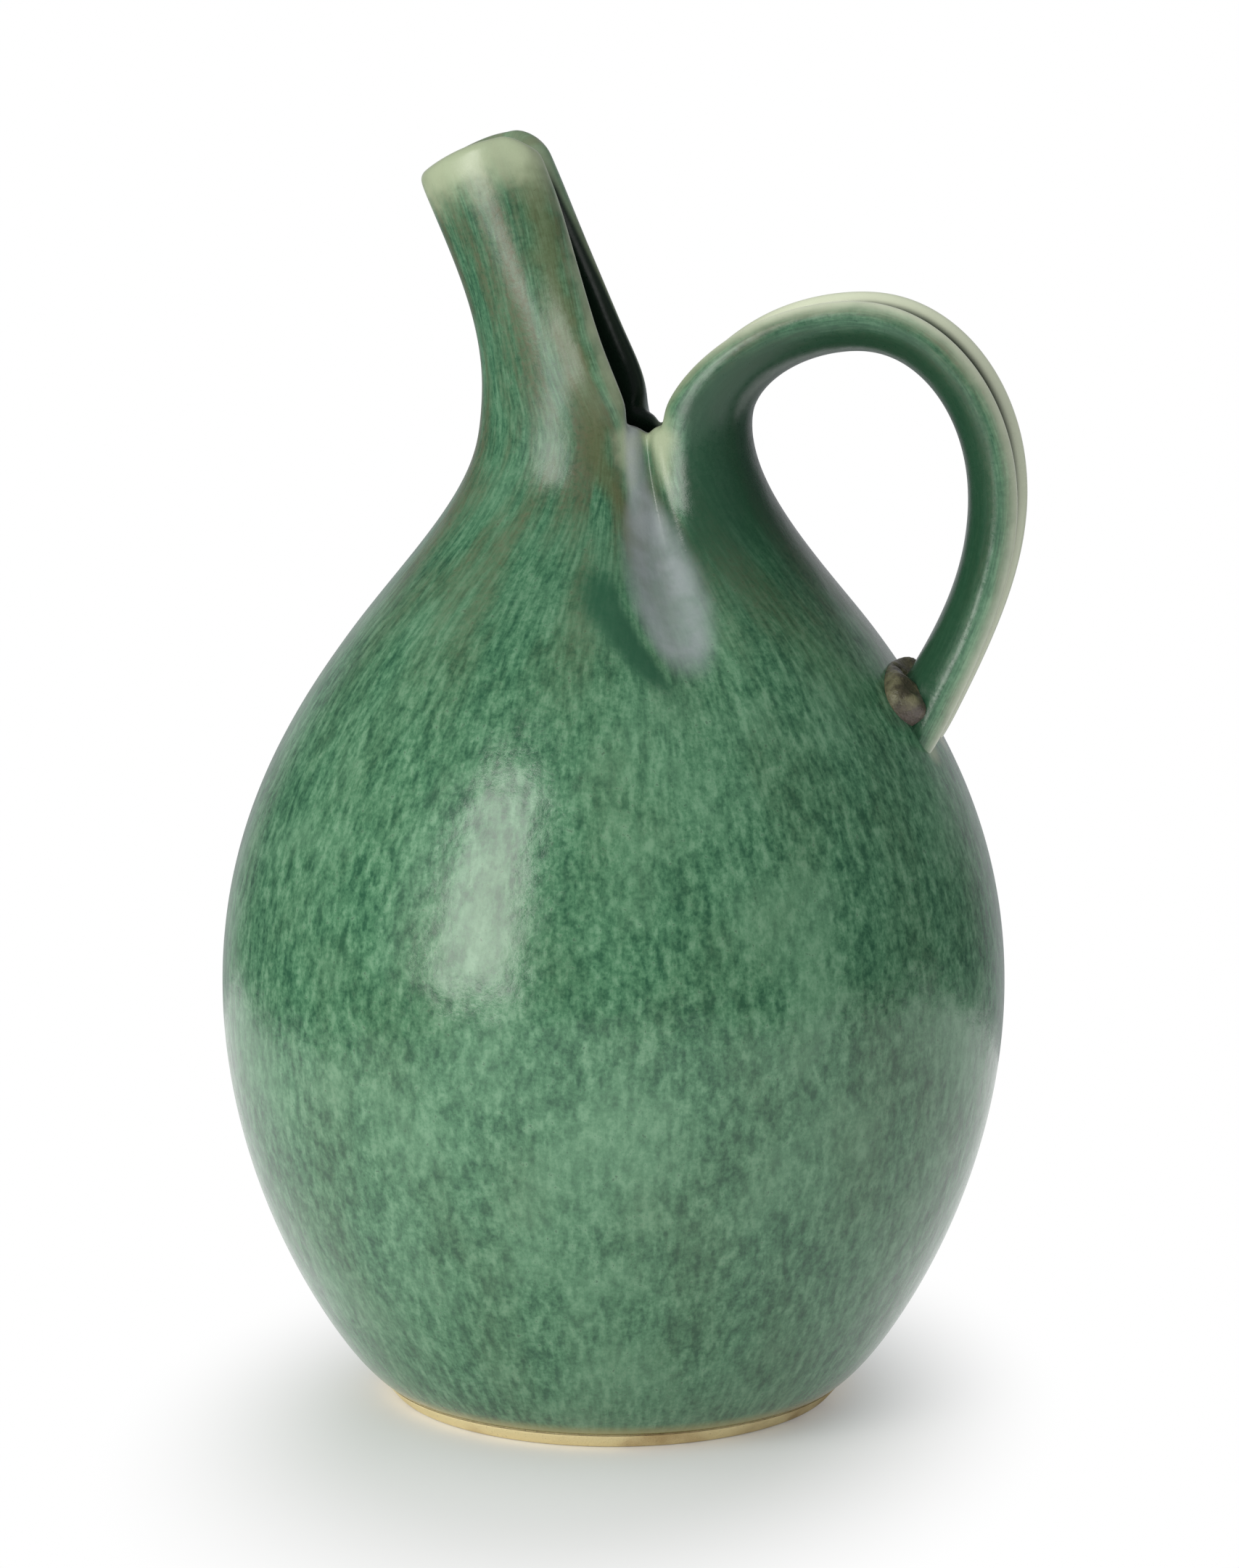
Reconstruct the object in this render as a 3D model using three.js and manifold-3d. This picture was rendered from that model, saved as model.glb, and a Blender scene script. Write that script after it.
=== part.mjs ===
// Stoneware pitcher: a thrown, gourd-shaped belly on a turned foot. Its neck is pinched into two
// lobes. The left lobe rises as a spout that stays slit open down one side, and the right lobe
// bends over as a gutter-shaped strap handle that lands on the shoulder on a wad of clay.
// Millimetres, +Z up. The origin is the centre of the foot on the table. +X runs towards the
// handle, -X towards the spout, and the part is symmetrical in Y.

import * as THREE from 'three';
import { mergeVertices } from 'three/addons/utils/BufferGeometryUtils.js';
import Module from 'manifold-3d';

const wasm = await Module();
wasm.setup();

// Gap left between two pieces that meet
const JOINT_GAP = 0.3;

// Foot ring
const FOOT_RADIUS = 43.7;
const FOOT_FLARE = 2.8;
const FOOT_HEIGHT = 2.7;
const FOOT_RING_WIDTH = 9;

// Belly. The pulls are the lengths of the curve's tangents where they leave each point.
const BELLY_RADIUS = 77.1;
const BELLY_HEIGHT = 82;
const FOOT_PULL_OUT = 4.3;
const FOOT_PULL_UP = 1.7;
const BELLY_PULL_DOWN = 44;
const BELLY_PULL_UP = 60.7;
const BODY_WALL = 5.5;
const FLOOR_THICKNESS = 7;

// Neck. It begins at a seam on the shoulder and divides in two at the rim.
const NECK_RADIUS = 27;
const NECK_LENGTH = 42.5;
const NECK_PULL_DOWN = 25.8;
const RIM_HEIGHT = 193.5;
const WAIST_HALF_WIDTH = 11;
const WAIST_X = 8.2;
const WAIST_LENGTH = 5;

// Dimple that a thumb left below each crotch: its middle, how deep it is and how far it spreads
const DIMPLE_BEARING = 61;
const DIMPLE_HEIGHT = 168;
const DIMPLE_DEPTH = 5.5;
const DIMPLE_SPREAD_DEGREES = 10;
const DIMPLE_SPREAD_UP = 9;

// Spout. Its slit widens above the crotch and closes towards the mouth, at shares of the height.
const SPOUT_RISE = 46.5;
const SPOUT_LEAN = 11.3;
const SPOUT_SETBACK = 0.8;
const SPOUT_BACK_SLOPE = 7.6;
const SPOUT_HALF_WIDTH = 17.5;
const SPOUT_NARROWING = 0.22;
const SPOUT_PULL = 17;
const SPOUT_LIP_SLOPE = 15;
const SLIT_HALF_WIDTH = 14;
const SLIT_OPEN_AT = 0.18;
const SLIT_CLOSING_FROM = 0.12;
const SLIT_CLOSED_AT = 0.9;
const SPOUT_TIP_WALL = 4.5;
const MOUTH_DEPTH = 25.2;
const MOUTH_TILT = 23;
const MOUTH_CROWN = 2;
const MOUTH_HALF_WIDTH = 10.5;
const MOUTH_SLIT_HALF_WIDTH = 2.4;

// Strap handle. Its back is the finger side and its lips face outwards. The loop's width and the
// place of its crest are measured from the neck, and its heights from the rim.
const LOOP_WIDTH = 42.4;
const LOOP_CREST_OUT = 21.8;
const LOOP_CREST_RISE = 14.8;
const LOOP_SIDE_DROP = 13.1;
const LOOP_ROOT_PULL = 8;
const LOOP_CREST_PULL = 11;
const LOOP_SIDE_PULL = 12.5;
const LANDING_DROP = 49.5;
const LANDING_PULL = 15.5;
const LANDING_SLOPE = 57;
const STRAP_DEPTH = 11;
const STRAP_HALF_WIDTH = 10;
const STRAP_ROOT_HALF_WIDTH = 13;
const STRAP_BACK_WALL = 7;
const STRAP_LIP_WALL = 4.5;
const LIP_ROOT_PULL = 16.5;
const LIP_ROOT_SLOPE = 76;
const LIP_CREST_PULL = 17;
const LIP_SIDE_PULL = 17;
const LIP_LANDING_DROP = 12.5;
const LIP_LANDING_PULL = 18;
const LIP_LANDING_SLOPE = 64;

// Clay wad around the end of the strap: a lump on the shoulder, just below the strap's landing
const WAD_DROP = 2.5;
const WAD_HALF_HEIGHT = 6;
const WAD_HALF_WIDTH = 13.5;
const WAD_THICKNESS = 5.8;

// How far a piece runs on inside its neighbour before it is cut back to the gap
const EMBED = 6;

// Facets
const TURNS = 56;
const PROFILE_STEPS = 10;
const NECK_ROWS = 12;
const SPOUT_ROWS = 12;
const STRAP_ROWS_PER_CURVE = 10;
const SPOUT_COLUMNS = 23;
const STRAP_COLUMNS = 15;
const WAD_ROWS = 16;
const WAD_COLUMNS = 32;
const SEARCH_STEPS = 40;

// Quarter of an ellipse as a cubic curve: the tangent's share of each half axis
const QUARTER_ROUND = 0.5523;

const GLAZE = { color: 0x46795c, roughness: 0.25, metalness: 0 };
const GLAZE_OVER_WAD = { color: 0x54553a, roughness: 0.35, metalness: 0 };
const BARE_CLAY = { color: 0xa8976c, roughness: 0.9, metalness: 0 };

const lerp = THREE.MathUtils.lerp;
const smoothstep = THREE.MathUtils.smoothstep;

function vec(x, y) {
  return new THREE.Vector2(x, y);
}

// Unit direction at an angle above the +X axis, in degrees
function heading(degrees) {
  const angle = THREE.MathUtils.degToRad(degrees);
  return vec(Math.cos(angle), Math.sin(angle));
}

// Cubic curve from start to end with a tangent vector at each of them
function curve(start, startPull, end, endPull) {
  return new THREE.CubicBezierCurve(start, start.clone().add(startPull), end.clone().sub(endPull), end);
}

// Parameter between 0 and 1 where a steadily rising function reaches the target
function solve(rising, target) {
  let low = 0;
  let high = 1;
  for (let step = 0; step < SEARCH_STEPS; step += 1) {
    const middle = (low + high) / 2;
    if (rising(middle) < target) {
      low = middle;
    } else {
      high = middle;
    }
  }
  return (low + high) / 2;
}

// Point beside an upward curve, at a distance towards its outside
function beside(path, t, distance) {
  const tangent = path.getTangent(t);
  return path.getPoint(t).add(vec(tangent.y, -tangent.x).multiplyScalar(distance));
}

// Points beside a curve between two parameters
function stretch(path, from, to, distance) {
  const ts = Array.from({ length: PROFILE_STEPS + 1 }, (_, i) => lerp(from, to, i / PROFILE_STEPS));
  return ts.map((t) => beside(path, t, distance));
}

// Outer profile of the body as (radius, height): foot to widest ring, and on to the rim
const bodyBase = FOOT_HEIGHT + JOINT_GAP;
const seamHeight = RIM_HEIGHT - NECK_LENGTH;
const footEdge = vec(FOOT_RADIUS + FOOT_FLARE, bodyBase);
const widest = vec(BELLY_RADIUS, BELLY_HEIGHT);
const lowerCurve = curve(footEdge, vec(FOOT_PULL_OUT, FOOT_PULL_UP), widest, vec(0, BELLY_PULL_DOWN));
const upperCurve = curve(widest, vec(0, BELLY_PULL_UP), vec(NECK_RADIUS, RIM_HEIGHT), vec(0, NECK_PULL_DOWN));

// Where the upper curve, or the line beside it, passes a height
function upperParameter(height, distance) {
  return solve((t) => beside(upperCurve, t, distance).y, height);
}

function upperRadius(height, distance) {
  return beside(upperCurve, upperParameter(height, distance), distance).x;
}

// Solid of revolution about Z from a profile of (radius, height) that runs upwards on its outside
function turned(profile) {
  return new THREE.LatheGeometry(profile, TURNS).rotateX(Math.PI / 2);
}

// Geometry with shared corners, without the flat triangles that lie on the axis
function welded(geometry) {
  geometry.deleteAttribute('normal');
  geometry.deleteAttribute('uv');
  const merged = mergeVertices(geometry);
  const index = merged.getIndex().array;
  const kept = [];
  for (let i = 0; i < index.length; i += 3) {
    const [a, b, c] = index.slice(i, i + 3);
    if (a !== b && b !== c && c !== a) {
      kept.push(a, b, c);
    }
  }
  merged.setIndex(kept);
  return merged;
}

function toSolid(geometry) {
  const closed = welded(geometry);
  const vertProperties = new Float32Array(closed.getAttribute('position').array);
  const triVerts = new Uint32Array(closed.getIndex().array);
  return new wasm.Manifold(new wasm.Mesh({ numProp: 3, vertProperties, triVerts }));
}

function fromSolid(solid) {
  const { vertProperties, triVerts } = solid.getMesh();
  const geometry = new THREE.BufferGeometry();
  geometry.setAttribute('position', new THREE.BufferAttribute(vertProperties, 3));
  geometry.setIndex(new THREE.BufferAttribute(triVerts, 1));
  return geometry;
}

// Closed wall between two matching grids of points. A ring joins its last column to its first,
// an open section gets a lip along each of its two edges.
function wall(outer, inner, isRing) {
  const rows = outer.length;
  const columns = outer[0].length;
  const steps = isRing ? columns : columns - 1;
  const out = (row, column) => row * columns + (column % columns);
  const into = (row, column) => rows * columns + out(row, column);
  const triangles = [];
  const quad = (a, b, c, d) => triangles.push(a, b, c, a, c, d);
  for (let row = 0; row < rows - 1; row += 1) {
    const next = row + 1;
    for (let i = 0; i < steps; i += 1) {
      quad(out(row, i), out(next, i), out(next, i + 1), out(row, i + 1));
      quad(into(row, i), into(row, i + 1), into(next, i + 1), into(next, i));
    }
    if (!isRing) {
      quad(out(row, 0), into(row, 0), into(next, 0), out(next, 0));
      quad(out(row, steps), out(next, steps), into(next, steps), into(row, steps));
    }
  }
  const last = rows - 1;
  for (let i = 0; i < steps; i += 1) {
    quad(out(0, i), out(0, i + 1), into(0, i + 1), into(0, i));
    quad(out(last, i), into(last, i), into(last, i + 1), out(last, i + 1));
  }
  const geometry = new THREE.BufferGeometry();
  const positions = [...outer.flat(), ...inner.flat()].flatMap((point) => point.toArray());
  geometry.setAttribute('position', new THREE.Float32BufferAttribute(positions, 3));
  geometry.setIndex(triangles);
  return geometry;
}

// Outline of a bent clay wall: an oval left open between its lips. In it x runs from the back
// to the lips and y across, from the near lip to the far lip. It can be narrower at its back.
function bentWall({ depth, lipHalfGap, halfWidth, narrowing, backWall, lipWall }, columns) {
  const lipAngle = Math.PI - Math.asin(lipHalfGap / halfWidth);
  const halfDepth = depth / (1 - Math.cos(lipAngle));
  return Array.from({ length: columns }, (_, i) => {
    const share = (2 * i) / (columns - 1) - 1;
    const angle = lipAngle * share;
    const reach = halfDepth * (1 - Math.cos(angle));
    const width = halfWidth * (1 - narrowing * (1 - reach / depth));
    const outer = vec(reach, width * Math.sin(angle));
    const normal = vec(-width * Math.cos(angle), halfDepth * Math.sin(angle)).normalize();
    const thickness = lerp(backWall, lipWall, share * share);
    return { outer, inner: outer.clone().addScaledVector(normal, -thickness) };
  });
}

// Places an outline between its back and its lips, two points of the XZ plane
function placed(point, back, lips) {
  const across = lips.clone().sub(back).normalize();
  return new THREE.Vector3(back.x + across.x * point.x, point.y, back.y + across.y * point.x);
}

// Spout: rails of (x, z) for its back and its lips, from the rim to the mouth
const rootHeight = RIM_HEIGHT + JOINT_GAP / 2;
const spoutRoot = {
  back: vec(SPOUT_SETBACK - NECK_RADIUS, rootHeight),
  lips: vec(WAIST_X - WAIST_LENGTH / 2, rootHeight),
};
const mouthBack = vec(-NECK_RADIUS - SPOUT_LEAN, RIM_HEIGHT + SPOUT_RISE);
const mouthLips = mouthBack.clone().addScaledVector(heading(MOUTH_TILT), MOUTH_DEPTH);
const spoutAim = heading(90 + MOUTH_TILT);
const mouthPull = spoutAim.clone().multiplyScalar(SPOUT_PULL);
const spoutBackStart = heading(90 - SPOUT_BACK_SLOPE).multiplyScalar(SPOUT_PULL);
const spoutLipStart = heading(90 + SPOUT_LIP_SLOPE).multiplyScalar(SPOUT_PULL);
const spoutRails = {
  back: curve(spoutRoot.back, spoutBackStart, mouthBack, mouthPull),
  lips: curve(spoutRoot.lips, spoutLipStart, mouthLips, mouthPull),
};

// Half the gap between the spout's lips at a share of its height
function slitHalfWidth(u) {
  const opened = lerp(WAIST_HALF_WIDTH, SLIT_HALF_WIDTH, smoothstep(u, 0, SLIT_OPEN_AT));
  return lerp(opened, MOUTH_SLIT_HALF_WIDTH, smoothstep(u, SLIT_CLOSING_FROM, SLIT_CLOSED_AT));
}

// Section of the spout at a share of its height. The rows arch more and more towards the mouth.
function spoutSection(u) {
  const back = spoutRails.back.getPoint(u);
  const lips = spoutRails.lips.getPoint(u);
  const depth = back.distanceTo(lips);
  const outline = bentWall({
    depth,
    lipHalfGap: slitHalfWidth(u),
    halfWidth: lerp(SPOUT_HALF_WIDTH, MOUTH_HALF_WIDTH, u),
    narrowing: SPOUT_NARROWING,
    backWall: lerp(BODY_WALL, SPOUT_TIP_WALL, u),
    lipWall: lerp(BODY_WALL, SPOUT_TIP_WALL, u),
  }, SPOUT_COLUMNS);
  const arched = (point) => {
    const share = point.x / depth;
    const rise = MOUTH_CROWN * u * u * 4 * share * (1 - share);
    return placed(point, back, lips).add(new THREE.Vector3(spoutAim.x * rise, 0, spoutAim.y * rise));
  };
  return {
    outer: outline.map(({ outer }) => arched(outer)),
    inner: outline.map(({ inner }) => arched(inner)),
  };
}

// Strap: rails for its back and its lips, each over the crest, down the far side and into the shoulder
const strapRoot = { back: vec(NECK_RADIUS, rootHeight), lips: vec(WAIST_X + WAIST_LENGTH / 2, rootHeight) };
const crest = vec(NECK_RADIUS + LOOP_CREST_OUT, RIM_HEIGHT + LOOP_CREST_RISE);
const farSide = vec(NECK_RADIUS + LOOP_WIDTH, RIM_HEIGHT - LOOP_SIDE_DROP);
const landingHeight = RIM_HEIGHT - LANDING_DROP;
const lipCrest = crest.clone().add(vec(0, STRAP_DEPTH));
const lipFarSide = farSide.clone().add(vec(STRAP_DEPTH, 0));

function shoulderPoint(height) {
  return vec(upperRadius(height, 0), height);
}

// Curve from the far side of the loop down to the shoulder, and on inside it
function landing(start, startPull, height, endPull, slope) {
  const aim = heading(180 + slope);
  const end = shoulderPoint(height).addScaledVector(aim, EMBED);
  return curve(start, vec(0, -startPull), end, aim.multiplyScalar(endPull + EMBED));
}

function quarterRound(start, end) {
  const pullOut = vec((end.x - start.x) * QUARTER_ROUND, 0);
  const pullDown = vec(0, (end.y - start.y) * QUARTER_ROUND);
  return curve(start, pullOut, end, pullDown);
}

const lipRise = heading(LIP_ROOT_SLOPE).multiplyScalar(LIP_ROOT_PULL);
const lipLandingHeight = landingHeight - LIP_LANDING_DROP;
const strapRails = {
  back: [
    curve(strapRoot.back, vec(0, LOOP_ROOT_PULL), crest, vec(LOOP_CREST_PULL, 0)),
    quarterRound(crest, farSide),
    landing(farSide, LOOP_SIDE_PULL, landingHeight, LANDING_PULL, LANDING_SLOPE),
  ],
  lips: [
    curve(strapRoot.lips, lipRise, lipCrest, vec(LIP_CREST_PULL, 0)),
    quarterRound(lipCrest, lipFarSide),
    landing(lipFarSide, LIP_SIDE_PULL, lipLandingHeight, LIP_LANDING_PULL, LIP_LANDING_SLOPE),
  ],
};

// Outline of the strap at a place on one of its three curves. It leaves the neck as wide as the
// waist and settles to its plain gutter by the crest.
function strapOutline(piece, t) {
  const back = strapRails.back[piece].getPoint(t);
  const lips = strapRails.lips[piece].getPoint(t);
  const depth = back.distanceTo(lips);
  const settled = smoothstep(piece + t, 0, 1);
  const outline = bentWall({
    depth,
    lipHalfGap: lerp(WAIST_HALF_WIDTH, STRAP_HALF_WIDTH, settled),
    halfWidth: lerp(STRAP_ROOT_HALF_WIDTH, STRAP_HALF_WIDTH, settled),
    narrowing: 0,
    backWall: lerp(BODY_WALL, STRAP_BACK_WALL, settled),
    lipWall: lerp(BODY_WALL, STRAP_LIP_WALL, settled),
  }, STRAP_COLUMNS).reverse();
  return { outline, back, lips, depth };
}

function strapSection(piece, t) {
  const { outline, back, lips } = strapOutline(piece, t);
  return {
    outer: outline.map(({ outer }) => placed(outer, back, lips)),
    inner: outline.map(({ inner }) => placed(inner, back, lips)),
  };
}

function strapWall() {
  const rows = strapRails.back.flatMap((_, piece) => {
    const first = piece === 0 ? 0 : 1;
    const count = STRAP_ROWS_PER_CURVE + 1 - first;
    return Array.from({ length: count }, (__, i) => strapSection(piece, (i + first) / STRAP_ROWS_PER_CURVE));
  });
  return wall(rows.map(({ outer }) => outer), rows.map(({ inner }) => inner), false);
}

// The landing end of the strap with its gutter filled and the joint's gap around its back
function strapEndBlock() {
  const rows = Array.from({ length: STRAP_ROWS_PER_CURVE + 1 }, (_, i) => {
    const { outline, back, lips, depth } = strapOutline(2, i / STRAP_ROWS_PER_CURVE);
    const swollen = outline.map(({ outer, inner }) => {
      const outwards = outer.clone().sub(inner).normalize();
      return outer.clone().addScaledVector(outwards, JOINT_GAP);
    });
    return {
      outer: swollen.map((point) => placed(point, back, lips)),
      inner: outline.map(({ outer }) => placed(vec(depth, outer.y), back, lips)),
    };
  });
  return wall(rows.map(({ outer }) => outer), rows.map(({ inner }) => inner), false);
}

// Everything inside the body's outer surface, with the joint's gap around it
function bodyEnvelope() {
  const top = upperParameter(RIM_HEIGHT, 0);
  return turned([
    vec(0, bodyBase),
    ...stretch(lowerCurve, 0, 1, JOINT_GAP),
    ...stretch(upperCurve, 0, top, JOINT_GAP).slice(1),
    vec(0, RIM_HEIGHT),
  ]);
}

function footRing() {
  const inner = FOOT_RADIUS - FOOT_RING_WIDTH;
  const profile = [
    vec(inner, 0),
    vec(FOOT_RADIUS, 0),
    vec(FOOT_RADIUS + FOOT_FLARE, FOOT_HEIGHT),
    vec(inner, FOOT_HEIGHT),
    vec(inner, 0),
  ];
  return turned(profile);
}

function belly() {
  const top = seamHeight - JOINT_GAP / 2;
  const floorTop = bodyBase + FLOOR_THICKNESS;
  const floorEdge = solve((t) => beside(lowerCurve, t, -BODY_WALL).y, floorTop);
  const outside = [
    ...stretch(lowerCurve, 0, 1, 0),
    ...stretch(upperCurve, 0, upperParameter(top, 0), 0).slice(1),
  ];
  const inside = [
    ...stretch(lowerCurve, floorEdge, 1, -BODY_WALL),
    ...stretch(upperCurve, 0, upperParameter(top, -BODY_WALL), -BODY_WALL).slice(1),
  ];
  return turned([vec(0, bodyBase), ...outside, ...inside.reverse(), vec(0, floorTop)]);
}

// The rim's outline: the roots of the spout and the strap, joined by the pinched waist between them
function rimColumns() {
  const spout = spoutSection(0);
  const strap = strapSection(0, 0);
  const waist = (side) => ({
    outer: new THREE.Vector3(WAIST_X, side * WAIST_HALF_WIDTH, 0),
    inner: new THREE.Vector3(WAIST_X, side * (WAIST_HALF_WIDTH - BODY_WALL), 0),
  });
  const far = waist(1);
  const near = waist(-1);
  return {
    outer: [...spout.outer, far.outer, ...strap.outer, near.outer],
    inner: [...spout.inner, far.inner, ...strap.inner, near.inner],
  };
}

// How far the dimples push the wall inwards at a height and a bearing
function dimple(height, bearing) {
  const aside = (THREE.MathUtils.radToDeg(Math.abs(bearing)) - DIMPLE_BEARING) / DIMPLE_SPREAD_DEGREES;
  const above = (height - DIMPLE_HEIGHT) / DIMPLE_SPREAD_UP;
  return DIMPLE_DEPTH * Math.exp(-aside * aside - above * above);
}

// The neck is round at the seam and takes the rim's outline as it rises
function neck() {
  const rim = rimColumns();
  const bearings = rim.outer.map((point) => Math.atan2(point.y, point.x));
  const bottom = seamHeight + JOINT_GAP / 2;
  const top = RIM_HEIGHT - JOINT_GAP / 2;
  const ring = (columns, height, distance, rimRadius) => {
    const radius = upperRadius(height, distance);
    const pinch = smoothstep(height, bottom, top);
    return columns.map((point, i) => {
      const x = lerp(radius * Math.cos(bearings[i]), (point.x * radius) / rimRadius, pinch);
      const y = lerp(radius * Math.sin(bearings[i]), (point.y * radius) / rimRadius, pinch);
      const inwards = 1 - dimple(height, bearings[i]) / Math.hypot(x, y);
      return new THREE.Vector3(x * inwards, y * inwards, height);
    });
  };
  const heights = Array.from({ length: NECK_ROWS + 1 }, (_, i) => lerp(bottom, top, i / NECK_ROWS));
  const outer = heights.map((height) => ring(rim.outer, height, 0, NECK_RADIUS));
  const inner = heights.map((height) => ring(rim.inner, height, -BODY_WALL, NECK_RADIUS - BODY_WALL));
  return wall(outer, inner, true);
}

function spout() {
  const rows = Array.from({ length: SPOUT_ROWS + 1 }, (_, i) => spoutSection(i / SPOUT_ROWS));
  return wall(rows.map(({ outer }) => outer), rows.map(({ inner }) => inner), false);
}

function handle() {
  return fromSolid(toSolid(strapWall()).subtract(toSolid(bodyEnvelope())));
}

// A ball pressed flat on the shoulder: its three axes run across, up the shoulder and outwards
function handleWad() {
  const ball = new THREE.SphereGeometry(1, WAD_COLUMNS, WAD_ROWS);
  const points = ball.getAttribute('position');
  for (let i = 0; i < points.count; i += 1) {
    const height = landingHeight - WAD_DROP + WAD_HALF_HEIGHT * points.getY(i);
    const depth = points.getZ(i) > 0 ? WAD_THICKNESS : EMBED;
    const place = beside(upperCurve, upperParameter(height, 0), depth * points.getZ(i));
    const bearing = (WAD_HALF_WIDTH * points.getX(i)) / upperRadius(height, 0);
    points.setXYZ(i, place.x * Math.cos(bearing), place.x * Math.sin(bearing), place.y);
  }
  const lump = toSolid(ball).subtract(toSolid(bodyEnvelope()));
  return fromSolid(lump.subtract(toSolid(strapEndBlock())));
}

function piece(name, geometry, finish) {
  const mesh = new THREE.Mesh(geometry, new THREE.MeshStandardMaterial(finish));
  mesh.name = name;
  return mesh;
}

const pitcher = new THREE.Group();
pitcher.add(
  piece('foot_ring', footRing(), BARE_CLAY),
  piece('belly', belly(), GLAZE),
  piece('neck', neck(), GLAZE),
  piece('spout', spout(), GLAZE),
  piece('handle', handle(), GLAZE),
  piece('handle_wad', handleWad(), GLAZE_OVER_WAD),
);

export default pitcher;
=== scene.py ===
import math

import bmesh
import bpy
import numpy as np
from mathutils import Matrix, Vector


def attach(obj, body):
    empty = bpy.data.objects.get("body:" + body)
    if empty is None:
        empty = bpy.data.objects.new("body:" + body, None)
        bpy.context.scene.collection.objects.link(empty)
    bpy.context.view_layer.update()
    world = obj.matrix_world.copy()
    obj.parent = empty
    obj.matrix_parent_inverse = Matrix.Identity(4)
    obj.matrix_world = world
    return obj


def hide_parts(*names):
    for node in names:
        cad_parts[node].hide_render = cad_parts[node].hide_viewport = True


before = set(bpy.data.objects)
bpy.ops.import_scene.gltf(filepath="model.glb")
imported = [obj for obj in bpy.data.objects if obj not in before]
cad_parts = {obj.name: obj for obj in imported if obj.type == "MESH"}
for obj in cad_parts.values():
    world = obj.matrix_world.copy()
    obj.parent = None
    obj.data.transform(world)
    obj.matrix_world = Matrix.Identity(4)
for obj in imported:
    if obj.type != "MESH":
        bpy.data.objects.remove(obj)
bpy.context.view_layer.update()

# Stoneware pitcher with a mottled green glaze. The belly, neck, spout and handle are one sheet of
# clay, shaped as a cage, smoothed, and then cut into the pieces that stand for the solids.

# Shapes are worked out in millimetres, as in the solids, and placed in metres.
MM = 0.001

# Foot ring
FOOT_RADIUS = 43.7
FOOT_FLARE = 2.8
FOOT_HEIGHT = 2.7
FOOT_RING_WIDTH = 9
FOOT_TUCK = 0.5
FOOT_ROUNDING = 0.6
FOOT_ROUNDING_STEPS = 4
FOOT_TURNS = 192
FOOT_EMBED = 0.8

# Belly. The pulls are the lengths of the curve's tangents where they leave each point.
BODY_BASE = 3.0
BELLY_RADIUS = 77.1
BELLY_HEIGHT = 82
FOOT_PULL_OUT = 4.3
FOOT_PULL_UP = 1.7
BELLY_PULL_DOWN = 44
BELLY_PULL_UP = 60.7
BODY_WALL = 5.5
FLOOR_THICKNESS = 7

# Neck. Its sheet ends a little below the rim, because the lips are rounded on top of it.
NECK_RADIUS = 27
NECK_PULL_DOWN = 25.8
SEAM_HEIGHT = 151
RIM_HEIGHT = 193.5
RIM_ROW_HEIGHT = 191.8
WAIST_HALF_WIDTH = 11
WAIST_X = 8.2
WAIST_LENGTH = 5
VALLEY_DEPTH = 3.2
VALLEY_EDGE = 0.6
VALLEY_INSIDE_SHARE = 0.33
CROTCH_DIP = 1.8
CROTCH_DIP_SHARES = (0.3, 1, 0.3)
CROTCH_DIP_LENGTH = 8

# Dimple that a thumb left below each crotch: its middle, how deep it is and how far it spreads
DIMPLE_BEARING = 61
DIMPLE_HEIGHT = 163
DIMPLE_DEPTH = 7
DIMPLE_SPREAD_DEGREES = 10
DIMPLE_SPREAD_UP = 13

# Painted reflection of a light in the dimple: half its width by height, and the painted shade of the rim on
# its outer side
DIMPLE_REFLECTION_HEIGHTS = (149, 153, 158, 163, 169, 175, 182, 194)
DIMPLE_REFLECTION_HALF_WIDTHS = (4, 6, 8, 9.5, 9, 6.5, 3.2, 2.5)
DIMPLE_REFLECTION_EDGE = (0.2, 1.2)
DIMPLE_REFLECTION_FOOT = (149, 157)
DIMPLE_SHADE_RIM = (0.8, 1.25, 1.45, 2.3)
DIMPLE_SHADE_RIM_HEIGHTS = (146, 153, 164, 174)

# Spout
SPOUT_RISE = 46.5
SPOUT_LEAN = 11.3
SPOUT_SETBACK = 0.8
SPOUT_BACK_SLOPE = 7.6
SPOUT_HALF_WIDTH = 17.5
SPOUT_NARROWING = 0.22
SPOUT_PULL = 17
SPOUT_LIP_SLOPE = 15
SLIT_HALF_WIDTH = 14
SLIT_OPENING = (0, 0.18)
SLIT_CLOSING = (0.12, 0.9)
SPOUT_TIP_WALL = 4.5
MOUTH_DEPTH = 25.2
MOUTH_TILT = 23
MOUTH_CROWN = 2
MOUTH_CORNER_DROP = 3.5
MOUTH_CORNER_START = 0.72
MOUTH_CORNER_GROWTH = 4
SPOUT_RELIEF_GROWTH = 0.5
MOUTH_HALF_WIDTH = 10.5
MOUTH_SLIT_HALF_WIDTH = 2.4

# Strap handle. Its back is the finger side and its lips face outwards and curl in a little.
LOOP_WIDTH = 42.4
LOOP_CREST_OUT = 21.8
LOOP_CREST_RISE = 14.8
LOOP_SIDE_DROP = 13.1
LOOP_ROOT_PULL = 8
LOOP_CREST_PULL = 11
LOOP_SIDE_PULL = 12.5
LANDING_DROP = 49.5
LANDING_PULL = 15.5
LANDING_SLOPE = 57
STRAP_DEPTH = 11
STRAP_HALF_WIDTH = 10
STRAP_LIP_HALF_GAP = 7.8
STRAP_ROOT_HALF_WIDTH = 13
STRAP_BACK_WALL = 7
STRAP_LIP_WALL = 4.5
LIP_ROOT_PULL = 16.5
LIP_ROOT_SLOPE = 76
LIP_CREST_PULL = 17
LIP_SIDE_PULL = 17
LIP_LANDING_DROP = 12.5
LIP_LANDING_PULL = 18
LIP_LANDING_SLOPE = 64
STRAP_END_DEPTH = 4
STRAP_RELIEF = 0.6
STRAP_RELIEF_START = 0.6
STRAP_LENGTH = 120
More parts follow.
